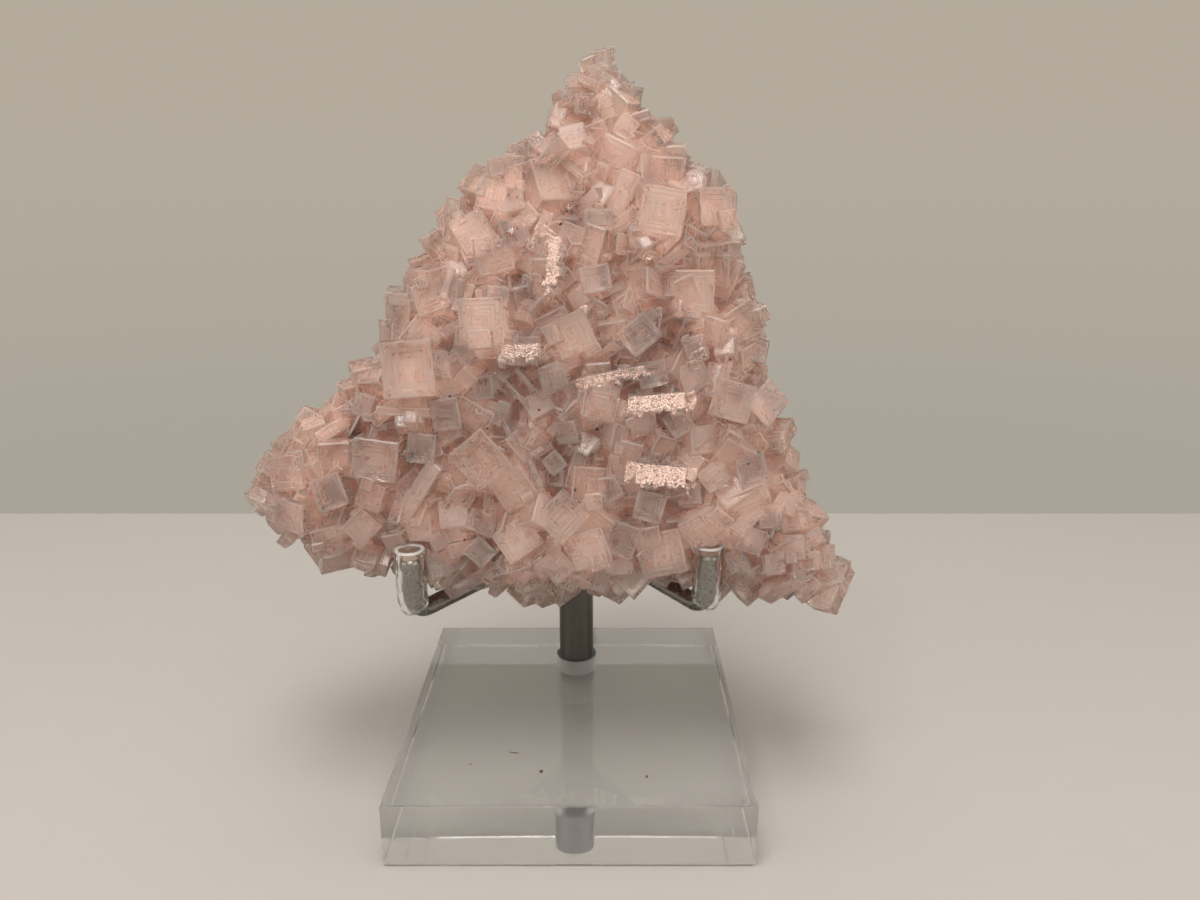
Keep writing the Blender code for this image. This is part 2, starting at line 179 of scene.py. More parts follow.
def grid_mesh(name: str, rows: Array, smooth: bool, ends: bool = True) -> bpy.types.Mesh:
    """Skin a grid of points whose rows are closed loops.

    Row i, column j joins row i+1, column j+1, and the last column joins the first. With ends the
    first and last rows are closed by flat caps, and without them the last row joins the first.

    Args:
        name: The mesh's name.
        rows: Points of shape (rows, columns, 3) in millimetres.
        smooth: Whether the sides are shaded smooth.
        ends: Whether the form is capped rather than closed on itself.

    Returns:
        The closed mesh in metres.
    """
    count, columns, _ = rows.shape
    index = np.arange(count * columns).reshape(count, columns)
    here = index[:-1] if ends else index
    above = index[1:] if ends else np.roll(index, -1, axis=0)
    quads = np.stack(
        [here, np.roll(here, -1, axis=1), np.roll(above, -1, axis=1), above], axis=-1
    ).reshape(-1, 4)
    faces = quads.tolist()
    if ends:
        faces += [index[0, ::-1].tolist(), index[-1].tolist()]
    mesh = bpy.data.meshes.new(name)
    mesh.from_pydata((rows.reshape(-1, 3) * MM).tolist(), [], faces)
    shading = np.full(len(faces), smooth)
    if ends:
        shading[-2:] = False
    mesh.polygons.foreach_set("use_smooth", shading)
    mesh.update()
    return mesh


# ---------------------------------------------------------------------------
# The cluster's own plane and outline


@dataclass(frozen=True)
class LeaningPlane:
    """The plane through the middle of the cluster, which leans back on the post."""

    origin: tuple[float, float, float] = (0.0, -2.0, 44.0)
    lean_deg: float = 8.0

    def axes(self) -> Array:
        """The directions of u, v and w in the world.

        Returns:
            The three as the rows of a matrix.
        """
        lean = math.radians(self.lean_deg)
        across = np.array([1.0, 0.0, 0.0])
        up = np.array([0.0, math.sin(lean), math.cos(lean)])
        return np.stack([across, up, np.cross(across, up)])

    def to_world(self, places: Array) -> Array:
        """Turn places (u, v, w) into world points, both in millimetres.

        Args:
            places: Rows of u, v, w.

        Returns:
            Rows of x, y, z.
        """
        return np.asarray(self.origin) + places @ self.axes()

    def from_world(self, points: Array) -> Array:
        """Turn world points into places (u, v, w), both in millimetres.

        Args:
            points: Rows of x, y, z.

        Returns:
            Rows of u, v, w.
        """
        return (points - np.asarray(self.origin)) @ self.axes().T


@dataclass(frozen=True)
class ClusterForm:
    """The cluster's outline and how thick it is in front of and behind its plane."""

    plane: LeaningPlane = LeaningPlane()
    front_at_foot: float = 14.5
    front_at_tip: float = 6.5
    back_at_foot: float = 11.0
    back_at_tip: float = 5.0
    thick_up_to_v: float = 42.0
    tip_v: float = 91.0
    edge_rounding: float = 13.0
    rim_half_thickness: float = 2.6
    foot_v: float = 4.0
    foot_bluntness: float = 2.2
    outline: tuple[tuple[float, float], ...] = (
        (4, 91), (9, 86), (14, 82), (22, 72), (29, 66), (29, 58), (34, 46), (34, 34),
        (38, 26), (43, 13), (49, 3), (48, -5), (37, -5), (24, -2), (10, -3), (-5, -5),
        (-19, -3), (-36, 0), (-46, 2), (-53, 5), (-57, 16), (-51, 25), (-40, 33),
        (-34, 41), (-28, 54), (-23, 62), (-15, 71), (-5, 77), (0, 87),
    )

    def corners(self) -> Array:
        """The outline's corners as an array."""
        return np.array(self.outline, dtype=float)

    def edge_distance(self, uv: Array) -> Array:
        """Distance from places in the plane to the outline.

        The nearest point of each edge is found by projecting on it. The foot's edges count as
        farther off, which leaves the foot blunt.

        Args:
            uv: Rows of u, v.

        Returns:
            One distance per row.
        """
        ends = self.corners()
        starts = np.roll(ends, 1, axis=0)
        edges = ends - starts
        offset = uv[:, None, :] - starts[None]
        along = np.clip((offset * edges).sum(-1) / (edges ** 2).sum(-1), 0, 1)
        distance = np.linalg.norm(offset - along[..., None] * edges, axis=-1)
        at_foot = (starts[:, 1] < self.foot_v) & (ends[:, 1] < self.foot_v)
        return (distance * np.where(at_foot, self.foot_bluntness, 1.0)).min(axis=1)

    def inside(self, uv: Array) -> npt.NDArray[np.bool_]:
        """Whether places in the plane lie within the outline, by counting crossed edges.

        Args:
            uv: Rows of u, v.

        Returns:
            One flag per row.
        """
        ends = self.corners()
        starts = np.roll(ends, 1, axis=0)
        u, v = uv[:, :1], uv[:, 1:]
        spans = (starts[:, 1] > v) != (ends[:, 1] > v)
        rise = np.where(ends[:, 1] == starts[:, 1], 1.0, ends[:, 1] - starts[:, 1])
        crossing = starts[:, 0] + (v - starts[:, 1]) * (ends[:, 0] - starts[:, 0]) / rise
        return (spans & (u < crossing)).sum(axis=1) % 2 == 1

    def depth(self, uv: Array, front: bool) -> Array:
        """Thickness of one side: full inside, rounded off towards the outline as a quarter circle.

        Args:
            uv: Rows of u, v.
            front: Whether it is the front side.

        Returns:
            One distance from the middle plane per row.
        """
        foot, tip = (
            (self.front_at_foot, self.front_at_tip) if front
            else (self.back_at_foot, self.back_at_tip)
        )
        fade = np.clip((uv[:, 1] - self.thick_up_to_v) / (self.tip_v - self.thick_up_to_v), 0, 1)
        full = foot + (tip - foot) * fade
        into_edge = 1 - np.minimum(self.edge_distance(uv), self.edge_rounding) / self.edge_rounding
        rounding = np.sqrt(1 - into_edge ** 2)
        return self.rim_half_thickness + (full - self.rim_half_thickness) * rounding


# ---------------------------------------------------------------------------
# Crystals


class Habit(Enum):
    """How the faces of a crystal grew."""

    BLOCK = "flat faces with worn edges"
    HOPPER = "faces sunk in square steps"
    STEPPED = "faces raised in thin square layers"


class Slot(IntEnum):
    """The material slots of the joined crystals."""

    CLEAR = 0
    FROSTED = 1
    CLOUDY = 2
    SUGARED = 3


@dataclass
class Crystals:
    """A batch of crystals with one habit: one row per crystal in every array."""

    habit: Habit
    place: Array
    turn: Array
    half: Array
    tint: Array
    frost: Array
    slot: npt.NDArray[np.int32]

    def __len__(self) -> int:
        """How many crystals the batch holds."""
        return len(self.place)


@dataclass(frozen=True)
class CrystalShape:
    """The mesh of one cube-like crystal, worked out from its half sizes.

    Every face is a square ring of points repeated inwards. A corner point of ring k lies at
    sign * (half - bevel * a - width * b - depth * c), where a, b and c say how many bevels, step
    widths and step depths that ring is moved in along each axis. The bevel is never more than
    bevel_share of the smallest half size.
    """

    habit: Habit
    bevel: float = 0.16
    bevel_share: float = 0.22
    width_share: float = 0.10
    step_depth: float = 0.30
    layer_depth: float = 0.14
    steps: int = 2

    def rings(self) -> list[tuple[float, float]]:
        """The rings of a face: two per step, a quarter of a width apart, and one for a flat face.

        Returns:
            Each ring's shift as (step widths inwards, step depths inwards).
        """
        rings = [(0.0, 0.0)]
        if self.habit is Habit.BLOCK:
            return rings
        for step in range(self.steps):
            rings.append((step * 1.25 + 1.0, step))
            rings.append((step * 1.25 + 1.25, step + 1))
        return rings

    def build(self) -> dict[str, npt.NDArray[Any]]:
        """Work out the shape's tables: signs and shifts per point, and faces.

        Returns:
            Arrays "sign", "bevel", "width", "depth" per point, "loops", "sizes" and "sharp" for
            the faces, and "axis_a", "axis_b", "edge" per face corner. The sharp faces are the
            crystal's edges and the risers of its steps.
        """
        rings = self.rings()
        square = [(-1, -1), (1, -1), (1, 1), (-1, 1)]
        sign, bevel, width, depth = [], [], [], []
        faces: list[list[int]] = []
        axes: list[tuple[int, int, bool]] = []
        risers: list[bool] = []
        first: dict[tuple[int, int, tuple[int, ...]], int] = {}
        for normal in range(3):
            across, up = (normal + 1) % 3, (normal + 2) % 3
            for side in (1, -1):
                base = len(sign)
                for k, (inward, sunk) in enumerate(rings):
                    for s, t in square:
                        point = [0, 0, 0]
                        point[normal], point[across], point[up] = side, s, t
                        moved = np.zeros((3, 3))
                        moved[0, [across, up]] = 1
                        moved[1, [across, up]] = inward
                        moved[2, normal] = sunk
                        if k == 0:
                            first[(normal, side, tuple(point))] = len(sign)
                        sign.append(point)
                        bevel.append(moved[0])
                        width.append(moved[1])
                        depth.append(moved[2])
                order = [0, 1, 2, 3] if side > 0 else [3, 2, 1, 0]
                for k in range(len(rings) - 1):
                    for i in range(4):
                        here, there = order[i], order[(i + 1) % 4]
                        outer, inner = base + 4 * k, base + 4 * k + 4
                        faces.append([outer + here, outer + there, inner + there, inner + here])
                        axes.append((across, up, False))
                        risers.append(k % 2 == 1)
                last = base + 4 * (len(rings) - 1)
                faces.append([last + i for i in order])
                axes.append((across, up, False))
                risers.append(False)
        corners = [(x, y, z) for x in (-1, 1) for y in (-1, 1) for z in (-1, 1)]
        for corner in corners:
            trio = [first[(n, corner[n], corner)] for n in range(3)]
            faces.append(trio if np.prod(corner) > 0 else trio[::-1])
            axes.append((0, 1, True))
            risers.append(True)
            for along in range(3):
                if corner[along] > 0:
                    continue
                n, m = (along + 1) % 3, (along + 2) % 3
                other = tuple(-c if i == along else c for i, c in enumerate(corner))
                quad = [
                    first[(n, corner[n], corner)], first[(n, corner[n], other)],
                    first[(m, corner[m], other)], first[(m, corner[m], corner)],
                ]
                faces.append(quad if corner[n] * corner[m] < 0 else quad[::-1])
                axes.append((along, n, True))
                risers.append(True)
        return {
            "sign": np.array(sign, float),
            "bevel": np.array(bevel),
            "width": np.array(width),
            "depth": np.array(depth),
            "loops": np.concatenate([np.array(face) for face in faces]),
            "sizes": np.array([len(face) for face in faces]),
            "sharp": np.array(risers),
            "axis_a": np.repeat([a for a, _, _ in axes], [len(face) for face in faces]),
            "axis_b": np.repeat([b for _, b, _ in axes], [len(face) for face in faces]),
            "edge": np.repeat([float(e) for _, _, e in axes], [len(face) for face in faces]),
        }

    def points(self, tables: dict[str, npt.NDArray[Any]], half: Array) -> Array:
        """The corner points of many crystals in their own axes.

        Args:
            tables: What build returned.
            half: Half sizes, one row per crystal.

        Returns:
            Points of shape (crystals, points, 3).
        """
        size = half[:, None, :]
        smallest = size.min(axis=-1, keepdims=True)
        step = self.step_depth if self.habit is Habit.HOPPER else -self.layer_depth
        moved_in = (
            np.minimum(self.bevel, smallest * self.bevel_share) * tables["bevel"]
            + smallest * 2 * self.width_share * tables["width"]
            + step * tables["depth"]
        )
        return tables["sign"] * (size - moved_in)


def world_points(own: Array, batch: Crystals, plane: LeaningPlane) -> Array:
    """Turn crystals' own points by their rotations, move them to their places and to metres.

    Args:
        own: Points of shape (crystals, points, 3) in their own axes.
        batch: The crystals.
        plane: The plane that they are placed in.

    Returns:
        World points of the same shape.
    """
    turned = np.einsum("nij,nmj->nmi", batch.turn, own)
    return plane.to_world(batch.place[:, None, :] + turned) * MM


def build_grains(name: str, batch: Crystals, plane: LeaningPlane) -> bpy.types.Mesh:
    """Make one mesh of many small box-shaped grains that only lie on each other.

    Args:
        name: The mesh's name.
        batch: The grains.
        plane: The plane that they are placed in.

    Returns:
        The mesh in metres.
    """
    sign = np.array([(x, y, z) for x in (-1, 1) for y in (-1, 1) for z in (-1, 1)], float)
    sides = np.array([
        (0, 1, 3, 2), (4, 6, 7, 5), (0, 4, 5, 1), (2, 3, 7, 6), (0, 2, 6, 4), (1, 5, 7, 3),
    ])
    world = world_points(sign * batch.half[:, None, :], batch, plane)
    count = len(batch)
    mesh = bpy.data.meshes.new(name)
    mesh.vertices.add(count * len(sign))
    mesh.vertices.foreach_set("co", world.ravel())
    mesh.loops.add(count * sides.size)
    every = sides.ravel() + np.arange(count)[:, None] * len(sign)
    mesh.loops.foreach_set("vertex_index", every.ravel())
    mesh.polygons.add(count * len(sides))
    mesh.polygons.foreach_set("loop_start", np.arange(count * len(sides)) * sides.shape[1])
    mesh.update(calc_edges=True)
    return mesh


def carry_look(mesh: bpy.types.Mesh, on_face: Array, extent: Array, look: Array) -> None:
    """Store what the halite finishes read: two UV pairs and a colour, one row per face corner.

    Args:
        mesh: The mesh.
        on_face: The corner's place on its face, in millimetres from the face's centre.
        extent: The face's half sizes, in millimetres.
        look: The crystal's tint and frost, whether the face is a worn edge, and 1.
    """
    for name, pairs in (("face_mm", on_face), ("extent_mm", extent)):
        mesh.uv_layers.new(name=name, do_init=False).uv.foreach_set("vector", pairs.ravel())
    layer = mesh.color_attributes.new("crystal", "FLOAT_COLOR", "CORNER")
    layer.data.foreach_set("color", look.ravel())


def build_crystal_meshes(
    shape: CrystalShape, batch: Crystals, plane: LeaningPlane
) -> list[bpy.types.Mesh]:
    """Make one mesh per crystal of a batch, in place.

    A crystal's faces take its own material slot, except that the sharp faces of one with enough
    frost are frosted. On a worn edge the place on the face is the half sizes themselves.

    Args:
        shape: The shape that the batch shares.
        batch: The crystals.
        plane: The plane that they are placed in.

    Returns:
        The meshes in metres.
    """
    tables = shape.build()
    own = shape.points(tables, batch.half)
    world = world_points(own, batch, plane)
    loops = tables["loops"]
    a, b, edge = tables["axis_a"], tables["axis_b"], tables["edge"]
    on_face = np.stack([own[:, loops, :][:, np.arange(len(loops)), a],
                        own[:, loops, :][:, np.arange(len(loops)), b]], axis=-1)
    extent = np.stack([batch.half[:, a], batch.half[:, b]], axis=-1)
    on_face = np.where(edge[None, :, None] > 0, extent, on_face)
    starts = np.concatenate([[0], np.cumsum(tables["sizes"])[:-1]])
    meshes = []
    for i in range(len(batch)):
        mesh = bpy.data.meshes.new("crystal")
        mesh.vertices.add(world.shape[1])
        mesh.vertices.foreach_set("co", world[i].ravel())
        mesh.loops.add(len(loops))
        mesh.loops.foreach_set("vertex_index", loops)
        mesh.polygons.add(len(starts))
        mesh.polygons.foreach_set("loop_start", starts)
        slot = np.full(len(starts), batch.slot[i], dtype=np.int32)
        if batch.frost[i] >= FROSTED_FROM and batch.slot[i] != Slot.SUGARED:
            slot[tables["sharp"]] = Slot.FROSTED
        mesh.polygons.foreach_set("material_index", slot)
        mesh.update(calc_edges=True)
        even = np.ones(len(loops))
        look = np.stack([batch.tint[i] * even, batch.frost[i] * even, edge, even], axis=-1)
        carry_look(mesh, on_face[i], extent[i], look)
        meshes.append(mesh)
    return meshes


def turn_matrices(roll: Array, tip: Array, swing: Array) -> Array:
    """Rotations in the cluster's plane: swing about v, after tip about u, after roll about w.

    Args:
        roll: Angles about w in degrees.
        tip: Angles about u in degrees.
        swing: Angles about v in degrees.

    Returns:
        Matrices of shape (crystals, 3, 3).
    """
    def spin(angle: Array, i: int, j: int) -> Array:
        """Rotation matrices in the plane of two axes.

        Args:
            angle: Angles in degrees.
            i: The axis that turns towards j.
            j: The other axis.

        Returns:
            Matrices of shape (angles, 3, 3).
        """
        radians = np.radians(angle)
        made = np.tile(np.eye(3), (len(angle), 1, 1))
        made[:, i, i] = made[:, j, j] = np.cos(radians)
        made[:, j, i] = np.sin(radians)
        made[:, i, j] = -np.sin(radians)
        return made
    return spin(swing, 2, 0) @ spin(tip, 1, 2) @ spin(roll, 0, 1)


# Crystals that stand out on the front as (u, v, side, roll in degrees)
PLAIN_CUBES = (
    (3.0, 17.0, 6.0, -5), (-9.0, 17.0, 8.0, 30), (0.0, 26.0, 4.0, 10), (8.0, 25.0, 4.5, -10),
    (-9.0, 6.5, 7.0, 35), (-20.0, 11.0, 5.5, 5), (-40.5, 22.0, 5.5, 0), (-36.0, 9.5, 5.5, 45),
    (27.5, 22.5, 7.0, -30), (34.5, 11.0, 4.5, -5), (42.0, 3.0, 3.5, 10), (31.0, 7.0, 5.0, -20),
    (16.5, 4.5, 8.0, 15), (-17.5, 39.0, 4.0, 40), (1.0, 42.0, 7.0, 25), (-10.5, 69.0, 5.5, 5),
    (-4.0, 66.0, 8.0, 5), (-16.5, 58.5, 6.5, 30), (24.0, 63.0, 6.5, 2), (29.0, 45.0, 6.5, 35),
    (21.0, 49.5, 7.0, 0), (13.0, 50.0, 5.0, 15), (9.5, 72.0, 7.0, -28), (5.5, 79.5, 4.5, 30),
    (1.0, 74.0, 5.0, 10), (-6.0, 14.5, 4.0, 25), (3.0, 23.0, 4.0, -30), (39.0, 10.0, 4.5, 15),
    (-29.5, 7.0, 4.5, 15), (-12.5, 34.0, 3.5, 10), (-13.0, 65.0, 5.0, -15),
    (22.5, 55.5, 5.0, 10), (1.0, 84.5, 2.5, 0), (5.0, 85.5, 3.5, 20), (2.5, 80.5, 3.5, 5),
    (16.5, 70.0, 6.0, -5), (21.0, 67.0, 4.5, 10), (12.0, 57.5, 4.5, 20), (7.5, 43.0, 5.0, 10),
    (21.0, 40.0, 4.0, 20), (26.5, 40.0, 4.0, 5), (-7.0, 39.5, 5.0, 0), (5.0, 36.0, 4.5, 5),
    (21.0, 35.0, 5.0, 25), (12.0, 28.0, 5.0, 10), (-5.0, 30.0, 4.5, 30),
    (-12.0, 29.0, 4.0, -20), (-27.0, 28.0, 5.5, 5), (-34.5, 30.0, 4.5, -10),
    (-17.5, 48.0, 4.5, -8), (-10.5, 48.0, 4.5, 10), (-46.5, 11.5, 6.5, -10),
    (-42.5, 7.0, 5.5, 15), (-33.5, 15.0, 5.0, -20), (-25.0, 2.5, 4.5, 0), (-2.0, 2.0, 5.0, 45),
    (8.5, 3.0, 4.5, 0), (21.0, 15.0, 4.5, 10), (24.5, 18.0, 5.0, 35), (15.5, 24.0, 5.0, -20),
    (39.0, 5.0, 4.5, 10), (35.0, 2.5, 4.0, 0), (28.5, 3.0, 4.5, 20),
)
HOPPER_CUBES = (
    (-1.5, 11.0, 7.5, 45), (-2.5, 20.5, 3.5, 40), (7.0, 16.0, 4.5, 30), (-15.0, 21.5, 8.0, 40),
    (13.5, 13.0, 5.5, -15), (9.0, 7.5, 6.0, -20), (-15.5, 5.0, 4.5, 45), (-32.5, 21.5, 8.0, -8),
    (27.5, 31.0, 7.0, -15), (18.5, 27.5, 4.5, 35), (-26.5, 36.0, 10.0, 5), (4.5, 51.0, 5.0, 10),
    (-24.5, 23.0, 5.5, -5), (-14.0, 33.5, 4.0, 5), (14.0, 35.5, 5.0, 10), (-20.5, 29.0, 5.5, 8),
    (-40.5, 15.5, 6.0, 20), (12.0, 42.0, 6.0, 40), (31.0, 19.0, 5.5, 15),
)
STEPPED_CUBES = (
    (-14.0, 44.0, 8.0, 3), (15.5, 62.0, 8.0, -10), (5.0, 60.5, 4.5, 3), (-22.0, 37.0, 4.5, 5),
    (-12.5, 54.5, 6.0, 15), (-23.0, 48.0, 5.5, 20), (-48.0, 18.5, 6.0, 5), (3.5, 5.5, 6.5, 20),
    (23.0, 9.5, 7.0, 30), (5.0, 31.0, 6.0, -10), (-2.5, 35.0, 4.5, 15),
)

# Plates seen on their edge as (u, v, length, thickness, heading in degrees)
EDGE_ON_PLATES = (
    (-10.0, 26.5, 6.5, 1.0, -63), (-6.2, 25.1, 3.3, 1.0, 64), (-12.2, 23.5, 3.9, 0.9, -25),
    (-6.2, 22.5, 2.6, 0.9, 29), (-5.6, 18.8, 5.7, 1.0, -65), (-14.2, 19.0, 7.1, 1.2, 17),
    (-15.0, 17.7, 9.3, 0.8, 15), (-20.2, 49.9, 5.7, 1.3, 76), (-18.2, 48.9, 5.2, 1.2, 82),
    (-14.7, 46.5, 5.7, 1.2, -83), (-8.8, 33.0, 5.7, 0.8, -48), (-6.5, 34.3, 6.7, 0.8, -50),
    (11.7, 42.9, 8.5, 1.6, 45), (29.4, 14.4, 9.5, 3.6, 25), (7.4, 35.2, 11.5, 1.8, 12),
    (-13.7, 41.6, 10.3, 3.4, -5), (-25.8, 29.3, 12.9, 1.6, -3), (-4.0, 51.5, 7.1, 3.4, 90),
    (-12.2, 54.4, 4.6, 4.0, -1), (4.9, 60.4, 4.7, 4.2, 90), (19.9, 49.5, 5.1, 3.6, -65),
)

# Plates under fine salt, facing forwards, as (u, v, length, width, heading in degrees)
SUGARED_PLATES = (
    (14.7, 30.8, 12.4, 3.0, 3), (15.5, 18.6, 11.0, 3.8, -5), (7.4, 35.2, 11.5, 1.6, 12),
    (-8.1, 39.4, 8.0, 2.6, 1), (-2.6, 53.3, 8.8, 1.8, 86),
)

# Places where fine salt lies: (u, v, length, width, heading in degrees, grains)
SUGAR_PATCHES = (
    (14.7, 30.8, 13.2, 4.0, 5, 1900), (15.5, 18.6, 12.0, 4.8, -5, 2100),
    (7.4, 35.2, 12.5, 2.4, 12, 500), (-8.1, 39.4, 8.8, 3.4, 1, 700),
    (-2.6, 53.3, 9.8, 2.6, 86, 900), (-4.6, 59.4, 6.5, 2.6, -37, 350),
    (-6.8, 56.6, 4.0, 2.2, 60, 70), (12.0, 40.0, 7.0, 5.0, 30, 70), (21.5, 39.5, 6.0, 4.0, 70, 80),
    (-10.0, 27.0, 9.0, 9.0, 0, 60), (6.0, 83.0, 9.0, 12.0, 90, 120), (33.0, 24.0, 8.0, 12.0, 20, 80),
)

# Grit caught in the gaps, as (u, v)
GRIT = (
    (-1.4, 60.4), (30.3, 27.5), (16.0, 26.2), (30.3, 20.6), (27.2, 38.0), (-5.0, 29.7),
    (-13.8, 26.5), (-19.9, 31.9), (-18.1, 7.1), (1.0, 16.2), (4.7, 25.9),
)

# Specks on the base's top as (x, y, length, width, height, heading in degrees)
BASE_SPECKS = (
    (-5.2, -22.6, 0.55, 0.4, 0.25, 20), (13.4, -24.0, 0.4, 0.3, 0.2, 60),
    (-10.5, -17.0, 1.6, 0.12, 0.1, -12), (-18.0, -20.5, 0.25, 0.2, 0.15, 0),
    (-14.2, -12.8, 0.2, 0.2, 0.1, 30), (-8.6, -9.5, 0.2, 0.15, 0.1, 50),
    (3.6, -19.2, 0.2, 0.2, 0.1, 10), (8.8, -12.1, 0.25, 0.15, 0.1, 70),
)

# Crystals that show along the outline: u, v, side, roll in degrees
RIM_CUBES = (
    (6.0, 89.5, 3.5, -5), (3.5, 88.0, 3.0, 15), (7.0, 86.5, 3.0, -5), (1.5, 85.5, 3.0, 0),
    (10.5, 83.0, 4.0, -10), (-1.5, 82.0, 3.0, 20), (13.0, 79.0, 4.0, -45),
    (16.0, 76.0, 3.5, -35), (18.0, 73.0, 4.0, -35), (22.5, 69.0, 4.0, -5),
    (27.0, 65.0, 4.5, -5), (26.5, 61.5, 4.5, 0), (-2.5, 79.0, 3.0, 10), (-5.0, 74.5, 4.0, 25),
    (-8.5, 73.5, 3.5, 10), (-12.5, 71.0, 3.5, 10), (-15.5, 68.0, 3.5, 15),
    (-17.0, 65.0, 4.0, 30), (-20.5, 61.5, 4.0, 25), (-23.0, 58.5, 4.0, 10),
    (-26.0, 54.5, 3.5, 15), (-28.0, 51.0, 4.0, 5), (-30.0, 47.0, 6.0, 20),
    (-32.5, 43.0, 4.0, 10), (-33.5, 39.5, 4.0, 30), (-39.0, 31.0, 6.0, 20),
    (-42.5, 28.5, 4.0, 35), (-47.5, 25.0, 5.5, 10), (-52.0, 22.0, 4.0, 30),
    (-54.5, 18.5, 4.0, 35), (-55.5, 15.0, 3.5, 20), (-52.0, 11.5, 4.0, 40),
    (-51.0, 6.5, 4.0, 10), (-45.5, 4.5, 6.0, 40), (-40.0, 3.0, 4.5, 20), (-35.0, 2.0, 3.5, 15),
    (-27.0, 0.5, 3.5, 5), (-24.0, -0.5, 3.0, 30), (-21.0, 0.5, 4.0, 20), (-17.5, -1.0, 3.5, 35),
    (-14.5, 0.5, 3.0, 10), (-11.5, -1.0, 4.0, 30), (-8.0, -0.5, 3.0, 0), (-5.0, -2.5, 4.0, 38),
    (-1.5, -1.0, 3.0, 15), (2.0, -1.5, 3.5, 5), (5.0, 0.0, 3.0, 25), (8.0, -1.0, 4.0, 38),
    (11.5, 0.5, 3.0, 5), (14.5, 0.5, 3.5, 20), (17.5, 1.0, 3.0, 40), (20.5, 0.0, 3.5, 0),
    (23.5, 1.0, 3.0, 30), (26.5, 0.0, 3.5, 10), (30.0, -1.0, 3.0, 25), (33.5, -3.0, 3.5, 3),
    (36.0, -2.0, 3.0, 30), (38.5, -3.0, 3.0, 5), (41.5, -3.5, 3.0, 35), (43.5, -2.5, 3.0, 15),
    (45.0, 1.0, 3.0, 5), (43.5, 5.0, 3.0, 25), (42.5, 8.5, 3.5, 40), (41.0, 12.5, 3.5, -30),
    (39.0, 18.5, 4.5, 5), (37.0, 24.5, 3.5, 10), (33.0, 32.0, 3.5, 5), (31.5, 37.0, 4.5, 20),
    (32.0, 42.5, 4.5, 20), (30.5, 48.0, 4.0, -35), (28.5, 53.0, 3.5, 10), (27.0, 57.0, 3.5, 0),
)


@dataclass(frozen=True)
class FillSize:
    """One size of the crystals that are scattered between the listed ones.

    Spacing is a share of two crystals' mean side, sink is a share of the side, and scatter is how
    unevenly deep they lie.
    """

    low: float
    high: float
    spacing: float
    sink: float
    tilt_deg: float
    tries: int
    hopper_share: float = 0.0
    scatter: float = 0.7


